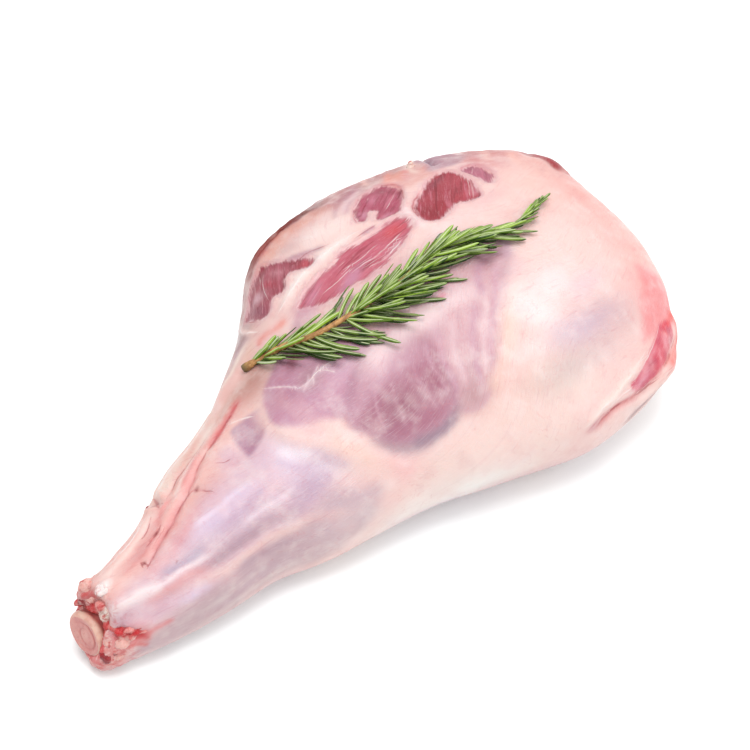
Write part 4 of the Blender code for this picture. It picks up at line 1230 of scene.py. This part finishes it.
rng = np.random.default_rng(7)
skin_tree = BVHTree.FromPolygons([tuple(p) for p in points], faces)


def tube_faces(rings, around, closed=True):
    """Quads between rings of points, with a fan over each end when closed."""
    out = []
    for i in range(rings - 1):
        for j in range(around):
            k = (j + 1) % around
            out.append((i * around + j, i * around + k, (i + 1) * around + k, (i + 1) * around + j))
    if closed:
        for j in range(around):
            k = (j + 1) % around
            out.append((rings * around, k, j))
            out.append((rings * around + 1, (rings - 1) * around + j, (rings - 1) * around + k))
    return out


def bone_object():
    """The sawn and cleaned end of the bone: a dished face, a rim of gristle, and the shaft behind it."""
    inward, side, up = frame_of(bone_axis)
    # reach from the face in knob radii, radius in knob radii
    profile = []
    for k in range(30):
        r = 0.02 + 0.83 * k / 29
        profile.append((0.04 * (1 - (r / 0.86) ** 2), r))
    for k in range(1, 11):
        angle = math.pi / 2 * k / 10
        profile.append((0.13 * (1 - math.cos(angle)), 0.86 + 0.14 * math.sin(angle)))
    profile += [(0.22, 1.01), (0.32, 1.0), (0.42, 0.97), (0.52, 0.92)]
    profile += [(0.62, 0.86), (0.85, 0.90), (1.15, 0.88), (1.6, 0.78), (2.0, 0.67)]
    shaft_end = float((inner_end - outer_end) @ bone_axis) / KNOB_RADIUS
    profile += [(2.0 + (shaft_end - 2.0) * k / 12, 0.64) for k in range(1, 13)]
    around = 96
    tilt_normal = np.array([-0.88, -0.06, 0.40])
    tilt_normal /= np.linalg.norm(tilt_normal)
    lean = np.array([side @ tilt_normal, up @ tilt_normal]) / -(inward @ tilt_normal)
    spots, radius, reach, grooves = [], [], [], []
    front = outer_end + bone_axis * 0.06 * KNOB_RADIUS
    for back, r in profile:
        for j in range(around):
            a = 2 * math.pi * j / around
            x, y = KNOB_LONG * r * math.cos(a), KNOB_SHORT * r * math.sin(a)
            c = x * math.cos(KNOB_TURN) - y * math.sin(KNOB_TURN) + 0.015 * r * math.cos(3 * a)
            s = x * math.sin(KNOB_TURN) + y * math.cos(KNOB_TURN) + 0.015 * r * math.sin(5 * a)
            slant = (c * lean[0] + s * lean[1]) * max(0.0, 1 - back / 1.2)
            crescent = 0.5 + 0.5 * math.cos(a - 2.5)
            groove = 0.06 * math.exp(-(((r - 0.64) / 0.06) ** 2)) * crescent**1.5
            inner = math.hypot(math.cos(a) * r + 0.10, math.sin(a) * r)
            groove += 0.04 * math.exp(-(((inner - 0.40) / 0.06) ** 2)) * (1 - crescent)
            spots.append(front + KNOB_RADIUS * (inward * (back + slant + groove) + side * c + up * s))
            grooves.append(groove / 0.06)
            radius.append(r)
            reach.append(back)
    spots = np.array(spots)
    wobble = noise(spots / KNOB_RADIUS, 0.5, 41, 3)[:, None]
    spots = spots + 0.028 * KNOB_RADIUS * wobble * np.array([1.0, 0.6, 0.6])
    spots = np.vstack([spots, spots[:around].mean(0), spots[-around:].mean(0)])
    bone = mesh_object("bone", spots, tube_faces(len(profile), around))
    point_data(bone, "radius", np.array(radius + [0.0, 0.0]))
    point_data(bone, "reach", np.array(reach + [0.0, shaft_end]))
    point_data(bone, "groove", np.array(grooves + [0.0, 0.0]))
    # A height across the face, rising upwards and towards the near side; the material paints the rim darker where it
    # is low, as shade
    heights = ((spots - front) @ up + 0.5 * (spots - front) @ side * -1) / KNOB_RADIUS
    point_data(bone, "high", heights)
    return bone


def bone_material():
    """Pink sawn marrow face, cream gristle rim with painted shade on its lower side, and bone stained pink."""
    net = Net("bone", Subsurface_Weight=0.3, Subsurface_Scale=0.003)
    net.shader.inputs["Subsurface Radius"].default_value = (1.0, 0.45, 0.35)
    place = net.place()
    soft = net.noise(place, 160.0, 4.0, 0.6)
    fine = net.noise(place, 700.0, 3.0, 0.6)
    radius = net.math("ADD", net.attr("radius"), net.math("MULTIPLY_ADD", soft, 0.16, -0.08))
    face = net.mix(net.span(soft, 0.35, 0.65), level(222, 142, 136), level(234, 170, 160))
    face = net.mix(net.span(fine, 0.55, 0.7, 0.0, 0.5), face, level(200, 108, 106))
    face = net.mix(net.math("MULTIPLY", net.attr("groove"), 0.85, clamp=True), face, level(196, 90, 90))
    rim = net.mix(net.span(soft, 0.4, 0.6), level(244, 202, 182), level(230, 172, 156))
    # Painted shade: the rim turns darker and redder towards its lower side
    rim = net.mix(net.span(net.attr("high"), 0.35, -0.45, 0.0, 0.6), rim, level(226, 150, 142))
    colour = net.mix(net.span(radius, 0.84, 0.92), face, rim)
    colour = net.mix(net.span(net.attr("reach"), 0.30, 0.60, 0.0, 0.8), colour, level(212, 92, 88))
    rough = net.span(soft, 0.3, 0.7, 0.32, 0.5)
    return net.finish(colour, rough, net.bump(net.math("ADD", soft, fine), 0.0005, 0.5))


bone = bone_object()
bone.data.materials.append(bone_material())
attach(bone, "root")
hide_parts("shank_bone")


# ---------------------------------------------------------------- torn tissue round the shank bone

RED, DARK, FLESH, GRISTLE, PALE = (
    level(210, 44, 48), level(146, 22, 32), level(238, 150, 144), level(250, 224, 212), level(244, 186, 176)
)
LUMPS = (
    # along, across, height, three radii, colour: the knuckle, and the hollow under it with a torn point
    (6.35, -0.1, 9.05, 1.15, 1.1, 1.15, PALE),
    (7.6, -0.4, 8.5, 1.5, 1.2, 1.2, FLESH),
    (5.5, -0.5, 7.9, 1.0, 0.8, 1.0, DARK),
    (4.6, 0.0, 7.4, 0.7, 0.4, 0.45, RED),
    (6.0, -1.3, 8.5, 0.9, 0.85, 0.85, PALE),
    # red tissue and the white ridge over the bone
    (6.0, -2.1, 7.7, 1.0, 1.0, 0.8, RED),
    (6.6, -2.9, 8.1, 1.2, 1.0, 1.0, FLESH),
    (6.3, -3.9, 7.7, 1.1, 0.95, 1.0, GRISTLE),
    (7.0, -4.3, 8.7, 1.3, 1.1, 1.05, GRISTLE),
    (5.7, -4.9, 6.9, 0.8, 0.8, 0.8, RED),
    (6.2, -5.7, 7.0, 1.1, 1.0, 1.0, FLESH),
    (6.6, -6.6, 6.9, 1.3, 0.9, 0.85, RED),
    (7.3, -7.4, 6.3, 1.2, 0.8, 0.8, RED),
    (5.9, -7.0, 5.8, 1.4, 1.1, 1.0, PALE),
    # the bulge beside the bone, a crease, and the stump with its dark cut end
    (4.8, -6.0, 5.4, 1.1, 1.0, 0.95, PALE),
    (4.5, -6.8, 4.8, 0.9, 0.8, 0.3, DARK),
    (4.8, -6.8, 3.8, 1.3, 1.1, 1.1, PALE),
    (3.4, -6.5, 4.1, 0.8, 0.9, 0.95, DARK),
    (4.8, -5.2, 3.0, 1.1, 1.4, 1.1, FLESH),
    (5.4, -2.4, 2.6, 1.0, 2.2, 0.9, FLESH),
    # shreds on the skin beside the bone, and the white knob above it
    (6.2, -6.7, 7.4, 1.0, 0.8, 0.55, RED),
    (6.9, -7.4, 7.8, 0.8, 0.6, 0.4, FLESH),
    (7.4, -7.8, 7.2, 0.8, 0.6, 0.5, RED),
    (6.7, -7.7, 6.7, 0.8, 0.6, 0.6, PALE),
    (8.0, -8.0, 7.8, 0.45, 0.4, 0.3, RED),
    (8.2, -8.4, 7.2, 0.6, 0.35, 0.35, FLESH),
    (8.9, -8.5, 8.1, 0.3, 0.25, 0.25, RED),
    (7.0, -2.5, 10.6, 1.0, 0.8, 0.6, WHITE),
    (6.0, -3.3, 9.2, 0.8, 0.7, 0.5, FLESH),
    # the fold's torn end on the shank's far edge
    (19.1, 3.6, 9.1, 1.0, 0.5, 0.4, DARK),
    (18.2, 3.3, 9.0, 0.7, 0.45, 0.35, FLESH),
    # the gap behind the bone's upper edge
    (5.7, -1.6, 7.3, 0.8, 0.8, 0.7, RED),
    # a torn tip that stands up from the far edge
    (79.4, 19.7, 16.0, 0.75, 0.6, 0.5, GRISTLE),
    (79.7, 20.0, 16.5, 0.45, 0.35, 0.50, GRISTLE),
    (5.6, 0.2, 4.0, 1.0, 1.0, 1.6, FLESH),
    (6.0, 0.5, 6.4, 1.0, 0.8, 1.4, FLESH),
)


def layout(along, across, height):
    """A place in metres from layout hundredths."""
    return np.array([X0 + along * U, Y0 + across * U, height * U])


def torn_object():
    """Lumps of flesh, gristle and tendon stumps melted together round the bone's neck."""
    mesh = bpy.data.meshes.new("lumps")
    shape = bmesh.new()
    for along, across, height, a, b, c, _ in LUMPS:
        spin = Matrix.Rotation(rng.uniform(0, 3), 4, "X")
        size = Matrix.Diagonal((a * U, b * U, c * U, 1))
        bmesh.ops.create_icosphere(
            shape, subdivisions=3, radius=1.0,
            matrix=Matrix.Translation(layout(along, across, height)) @ size @ spin,
        )
    shape.to_mesh(mesh)
    shape.free()
    lumps = bpy.data.objects.new("lumps", mesh)
    bpy.context.scene.collection.objects.link(lumps)
    melt = lumps.modifiers.new("melt", "REMESH")
    melt.mode = "VOXEL"
    melt.voxel_size = 0.00042
    even = lumps.modifiers.new("even", "SMOOTH")
    even.iterations = 24
    graph = bpy.context.evaluated_depsgraph_get()
    melted = lumps.evaluated_get(graph).to_mesh()
    spots = np.zeros(len(melted.vertices) * 3)
    melted.vertices.foreach_get("co", spots)
    spots = spots.reshape(-1, 3)
    out = np.zeros(len(spots) * 3)
    melted.vertices.foreach_get("normal", out)
    out = out.reshape(-1, 3)
    sides = [tuple(face.vertices) for face in melted.polygons]
    bpy.data.objects.remove(lumps)
    bumps = 0.16 * noise(spots / U, 0.9, 61, 2)
    bumps += 0.10 * noise(spots / U, 0.32, 64, 2)
    bumps += 0.16 * (0.5 - np.abs(noise(spots / U * np.array([0.6, 1.0, 1.0]), 0.5, 62, 3, 0.6)))
    spots = spots + out * (bumps * U)[:, None]
    spots[:, 2] = np.maximum(spots[:, 2], 0.0003)
    torn = mesh_object("torn_end", spots, sides)
    weights, colours = 0.0, 0.0
    stir = 0.35 * U * noise(spots / U, 0.8, 63, 2)[:, None]
    for along, across, height, a, b, c, colour in LUMPS:
        away = (spots + stir - layout(along, across, height)) / (np.array([a, b, c]) * U)
        near = 1.0 / ((away * away).sum(1) ** 5 + 0.02)
        weights = weights + near
        colours = colours + near[:, None] * colour
    point_data(torn, "tint", colours / weights[:, None])
    return torn


def torn_material():
    """Wet flesh: the lumps' own colours, broken by pale and dark red strands."""
    net = Net("torn_flesh", Subsurface_Weight=0.25, Subsurface_Scale=0.002, Specular_IOR_Level=0.35)
    net.shader.inputs["Subsurface Radius"].default_value = (1.0, 0.4, 0.3)
    place = net.place()
    cloud = net.noise(place, 260.0, 5.0, 0.65, stretch=(0.6, 1.0, 1.0), warp=0.6)
    fine = net.noise(place, 800.0, 3.0, 0.65)
    colour = net.mix(net.span(cloud, 0.54, 0.66, 0.0, 0.40), net.attr("tint", "Color"), level(250, 206, 198))
    colour = net.mix(net.span(cloud, 0.50, 0.36, 0.0, 0.75), colour, level(200, 40, 46))
    colour = net.mix(net.span(fine, 0.60, 0.72, 0.0, 0.45), colour, level(168, 36, 44))
    normal = net.bump(net.math("ADD", cloud, fine), 0.0007, 0.6)
    return net.finish(colour, net.span(fine, 0.3, 0.7, 0.22, 0.42), normal)


torn = torn_object()
torn.data.materials.append(torn_material())
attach(torn, "root")


# ---------------------------------------------------------------- rosemary

STEM_PLAN = ((39.4, 9.0), (41.4, 7.9), (44, 6.3), (46.8, 4.3), (49.8, 3.3), (52.8, 2.6), (57.4, 1.9), (61.6, 1.7),
             (65.4, 2.2), (69.4, 1.8), (73.6, 0.1), (76.9, -1.4), (80.6, -1.1), (84.6, -0.1))
STEM_LIFT = (0.5, 0.7, 0.9, 1.0, 1.0, 1.1, 1.2, 1.2, 1.2, 1.2, 1.1, 0.9, 0.8, 0.8)
LEAF_ROWS, LEAF_ROUND = 11, 8


def ground(spot):
    """Height of the meat under a place, and its normal."""
    place, normal, _, _ = skin_tree.ray_cast(Vector((spot[0], spot[1], 0.4)), Vector((0, 0, -1)))
    return place.z, np.array(normal)


def stem_path():
    plan = smooth_path(STEM_PLAN, parts=8)
    rise = np.interp(np.linspace(0, 1, len(plan)), np.linspace(0, 1, len(STEM_LIFT)), STEM_LIFT)
    spots = []
    for (along, across), up in zip(plan, rise):
        spot = np.array([X0 + along * U, Y0 + across * U])
        spots.append([spot[0], spot[1], ground(spot)[0] + up * U])
    spots = np.array(spots)
    for _ in range(6):
        spots[1:-1] = (spots[:-2] + 2 * spots[1:-1] + spots[2:]) / 4
    return spots


def sweep(path, radii, around, name):
    """A tube along a path; returns points and faces."""
    tangents = np.gradient(path, axis=0)
    spots = []
    for centre, tangent, radius in zip(path, tangents, radii):
        _, side, up = frame_of(tangent)
        for j in range(around):
            a = 2 * math.pi * j / around
            spots.append(centre + radius * (math.cos(a) * side + math.sin(a) * up))
    spots = np.array(spots)
    spots = np.vstack([spots, path[0], path[-1]])
    return spots, tube_faces(len(path), around)


stem_line = stem_path()
stem_reach = np.concatenate([[0], np.cumsum(np.linalg.norm(np.diff(stem_line, axis=0), axis=1))])
STEM_LONG = stem_reach[-1]


def on_stem(distance):
    """Place and heading on the stem at a distance from its cut base."""
    place = np.array([np.interp(distance, stem_reach, stem_line[:, k]) for k in range(3)])
    ahead = np.array([np.interp(distance + 0.004, stem_reach, stem_line[:, k]) for k in range(3)])
    behind = np.array([np.interp(distance - 0.004, stem_reach, stem_line[:, k]) for k in range(3)])
    return place, (ahead - behind) / np.linalg.norm(ahead - behind)


def stem_object():
    count = 150
    path, radii = [], []
    for k in range(count):
        t = k / (count - 1)
        place, _ = on_stem(t * STEM_LONG)
        knot = 0.12 * max(0.0, math.sin(t * STEM_LONG / 0.0085 * 2 * math.pi)) ** 4
        path.append(place)
        radii.append((0.00170 - 0.0011 * t) * (1 + knot) * (1.25 if k < 5 else 1.0))
    spots, skin_faces = sweep(np.array(path), radii, 14, "stem")
    spots = spots + 0.00012 * noise(spots / 0.001, 1.2, 51, 2)[:, None]
    stem = mesh_object("rosemary_stem", spots, skin_faces)
    t = np.repeat(np.linspace(0, 1, count), 14)
    point_data(stem, "reach", np.concatenate([t, [0.0, 1.0]]))
    return stem


def clear_of_meat(spot, gap):
    """The spot, pushed out to a gap above the meat if it is nearer than that or inside."""
    near, normal, _, _ = skin_tree.find_nearest(Vector(spot))
    out = np.array(spot) - np.array(near)
    height = out @ np.array(normal)
    if height < gap:
        spot = spot + np.array(normal) * (gap - height)
    return spot


def leaf(base, heading, side_way, long_, wide, lean, bend, roll, seed):
    """One needle leaf: points, faces and its data. It leaves the stem at a lean and bends forward."""
    spots, data = [], []
    direction = heading * math.cos(lean) + side_way * math.sin(lean)
    spot = base.copy()
    line = []
    reach = [1 - (1 - k / (LEAF_ROWS - 1)) ** 1.6 for k in range(LEAF_ROWS)]
    for k, t in enumerate(reach):
        angle = lean * (1 - bend * t)
        step = heading * math.cos(angle) + side_way * math.sin(angle)
        line.append(clear_of_meat(spot, 0.0005 + 0.0007 * min(1.0, 3 * t)))
        spot = line[-1] + step * long_ * (reach[min(k + 1, LEAF_ROWS - 1)] - t)
    line = np.array(line)
    line[1:-1] = (line[:-2] + 4 * line[1:-1] + line[2:]) / 6
    tangents = np.gradient(line, axis=0)
    for k, t in enumerate(reach):
        _, side, up = frame_of(tangents[k], (math.sin(roll) * 0.8, 0.1, 1.0))
        c, s = math.cos(roll), math.sin(roll)
        side, up = c * side + s * up, -s * side + c * up
        half = wide / 2 * min(1.0, 0.42 + 2.6 * t) * (1 - max(0.0, (t - 0.80) / 0.20) ** 2.2) ** 0.5
        half = max(half, wide * 0.05)
        thick = wide * 0.20 * (half / (wide / 2)) ** 0.5
        # top from edge to edge with a fine groove, then the rolled-under margins
        shape = ((-1.0, -0.25), (-0.72, 0.75), (-0.16, 1.0), (0.0, 0.62), (0.16, 1.0), (0.72, 0.75), (1.0, -0.25),
                 (0.0, -0.35))
        for x, y in shape:
            spots.append(line[k] + side * x * half + up * y * thick)
            data.append((x, t, seed, 1.0 if y < 0 and x == 0 else 0.0))
    ring = LEAF_ROUND
    out = tube_faces(LEAF_ROWS, ring)
    spots.append(line[0])
    spots.append(line[-1] + (line[-1] - line[-2]) * 0.12)
    data.append((0.0, 0.0, seed, 0.0))
    data.append((0.0, 1.0, seed, 0.0))
    return spots, out, data


def leaves_object():
    spots, all_faces, data = [], [], []
    distance = 0.004
    turn = 0.3
    node = 0
    while distance < STEM_LONG - 0.002:
        t = distance / STEM_LONG
        place, heading = on_stem(distance)
        _, side, up = frame_of(heading)
        # side points to the far side of the stem when the heading is along the leg
        bare = 0.95 * math.exp(-(((t - 0.23) / 0.10) ** 4)) + 0.30 * (t < 0.2)
        near_lean = np.interp(t, (0, 0.08, 0.16, 0.34, 0.6, 0.72, 0.85, 1), (40, 44, 52, 54, 46, 30, 18, 8))
        near_long = np.interp(t, (0, 0.1, 0.2, 0.36, 0.6, 0.75, 0.9, 1), (17, 23, 29, 32, 28, 21, 14, 11))
        far_lean = np.interp(t, (0, 0.15, 0.24, 0.34, 0.42, 0.6, 0.8, 1), (34, 28, 46, 44, 20, 11, 10, 6))
        far_long = np.interp(t, (0, 0.1, 0.25, 0.35, 0.5, 0.75, 0.9, 1), (17, 19, 25, 25, 21, 17, 14, 9))
        young = ease((t - 0.74) / 0.12)
        count = 7 if 0.12 < t < 0.66 else 5 if t < 0.80 else 3
        for k in range(count):
            # leaves evenly round the stem, each ring turned about an eighth of a turn from the last, pressed flat by
            # the meat
            around = turn + 2 * math.pi * k / count + rng.normal(0, 0.22)
            x, y = math.cos(around), math.sin(around)
            if y > 0.35 and rng.random() < bare:
                continue
            y = y * 0.46 if y > 0 else y * 0.30
            if 0.14 < t < 0.62 and x > 0.2 and rng.random() < 0.35:
                x = -x
            way = side * x + up * y
            way /= np.linalg.norm(way)
            near_side = x < 0
            lean = math.radians(rng.normal(near_lean, 10) if near_side else rng.normal(far_lean, 5))
            long_ = 0.001 * (near_long if near_side else far_long) * rng.normal(0.98, 0.13)
            lean *= 0.35 + 0.65 * abs(x)
            if y > 0.3:
                long_ *= 0.84
            wide = rng.normal(0.00222, 0.00030) * (1 - 0.35 * young)
            seed = rng.random()
            roll = rng.normal(0, 0.5) + (2.6 if rng.random() < 0.14 else 0.0)
            points_, faces_, data_ = leaf(place, heading, way, long_, wide, lean, rng.uniform(0.15, 0.6), roll, seed)
            start = len(spots)
            data_ = [(*item, y) for item in data_]
            spots += [tuple(p) for p in points_]
            all_faces += [tuple(start + i for i in f) for f in faces_]
            data += data_
        node += 1
        turn += math.pi / 4 + rng.normal(0, 0.15)
        distance += rng.uniform(0.0032, 0.0052) * (1 - 0.3 * young)
    leaves = mesh_object("rosemary_leaves", np.array(spots), all_faces)
    data = np.array(data)
    point_data(leaves, "across", data[:, 0])
    point_data(leaves, "reach", data[:, 1])
    point_data(leaves, "seed", data[:, 2])
    point_data(leaves, "under", data[:, 3])
    point_data(leaves, "height", data[:, 4])
    return leaves


def leaf_material():
    """Glossy green needles with a pale midrib, lighter margins below, and some younger and yellower; a painted
    highlight along the midrib and on one half of each needle, and painted shade on the needles that lie under the
    stem.
    """
    net = Net("rosemary_leaf", Specular_IOR_Level=0.22)
    across = net.math("ABSOLUTE", net.attr("across"))
    reach, seed, under = net.attr("reach"), net.attr("seed"), net.attr("under")
    place = net.place()
    spots = net.noise(place, 900.0, 3.0, 0.6)
    broad = net.noise(place, 140.0, 2.0, 0.5)
    green = net.mix(seed, level(34, 74, 4), level(150, 188, 50))
    green = net.mix(net.span(broad, 0.44, 0.60, 0.0, 0.55), green, level(176, 210, 84))
    # Painted shade: needles that point down under the stem are darkened
    green = net.mix(net.span(net.attr("height"), 0.20, -0.25, 0.0, 0.88), green, level(20, 46, 6))
    green = net.mix(net.span(reach, 0.30, 0.0, 0.0, 0.5), green, level(150, 164, 84))
    # Painted highlight: one half of each needle is lighter, as if its fold caught the light
    green = net.mix(net.span(net.attr("across"), 0.05, 0.5, 0.0, 0.45), green, level(192, 216, 128))
    # The pale midrib, lightened further as a painted highlight
    green = net.mix(net.span(across, 0.30, 0.08, 0.0, 0.80), green, level(240, 248, 200))
    green = net.mix(net.span(across, 0.84, 1.0, 0.0, 0.5), green, level(34, 62, 22))
    green = net.mix(net.math("MULTIPLY", under, 0.9), green, level(214, 222, 192))
    green = net.mix(net.span(spots, 0.55, 0.75, 0.0, 0.25), green, level(50, 80, 32))
    rough = net.span(spots, 0.3, 0.7, 0.24, 0.40)
    return net.finish(green, rough, net.bump(spots, 0.00015, 0.5))


def stem_material():
    net = Net("rosemary_stem", Subsurface_Weight=0.1, Subsurface_Scale=0.001)
    place = net.place()
    bark = net.noise(place, 420.0, 4.0, 0.65, stretch=(0.35, 1.0, 1.0))
    flecks = net.noise(place, 900.0, 2.0, 0.6)
    colour = net.mix(net.span(bark, 0.35, 0.65), level(168, 116, 62), level(222, 168, 104))
    colour = net.mix(net.span(flecks, 0.56, 0.66, 0.0, 0.5), colour, level(128, 84, 44))
    colour = net.mix(net.span(net.attr("reach"), 0.55, 0.9), colour, level(140, 156, 84))
    colour = net.mix(net.span(net.attr("reach"), 0.03, 0.0), colour, level(118, 96, 54))
    return net.finish(colour, net.span(bark, 0.3, 0.7, 0.5, 0.75), net.bump(bark, 0.0004, 0.7))


rng = np.random.default_rng(14)
stem = stem_object()
stem.data.materials.append(stem_material())
leaves = leaves_object()
leaves.data.materials.append(leaf_material())
for thing in (stem, leaves):
    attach(thing, "root")
    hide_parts("rosemary_sprig")


# ---------------------------------------------------------------- floor, camera and light

def floor_material():
    net = Net("floor", Specular_IOR_Level=0.1)
    grainy = net.noise(net.place(), 40.0, 3.0, 0.5)
    return net.finish(net.mix(net.span(grainy, 0.3, 0.7), np.array([0.90, 0.94, 0.94]), np.array([0.92, 0.96, 0.96])), 0.9)


floor = mesh_object("floor", [(-3, -3, 0), (3, -3, 0), (3, 3, 0), (-3, 3, 0)], [(0, 1, 2, 3)], False)
floor.data.materials.append(floor_material())

AZIMUTH, ELEVATION = math.radians(-43), math.radians(52)
target = Vector((X0 + 54.2 * U, Y0, 9.15 * U))
away = Vector((
    math.sin(AZIMUTH) * math.cos(ELEVATION),
    -math.cos(AZIMUTH) * math.cos(ELEVATION),
    math.sin(ELEVATION),
))
camera = bpy.data.objects.new("camera", bpy.data.cameras.new("camera"))
camera.data.lens = 85
camera.location = target + away * 235.6 * U
camera.rotation_euler = away.to_track_quat("Z", "Y").to_euler()
bpy.context.scene.collection.objects.link(camera)
bpy.context.scene.camera = camera

world = bpy.data.worlds.new("studio")
world.use_nodes = True
world.node_tree.nodes["Background"].inputs["Color"].default_value = (1, 1, 1, 1)
world.node_tree.nodes["Background"].inputs["Strength"].default_value = 0.92
bpy.context.scene.world = world


def area_light(name, place, size, power):
    """A soft square lamp that looks at the leg."""
    lamp = bpy.data.lights.new(name, "AREA")
    lamp.size = size
    lamp.energy = power
    thing = bpy.data.objects.new(name, lamp)
    thing.location = place
    aim = Vector(place) - target
    thing.rotation_euler = aim.to_track_quat("Z", "Y").to_euler()
    bpy.context.scene.collection.objects.link(thing)


area_light("key", (0.05, 0.05, 1.5), 0.9, 15.6)
area_light("front", (0.65, -1.1, 1.0), 0.9, 7.6)

bpy.context.scene.view_settings.view_transform = "Standard"
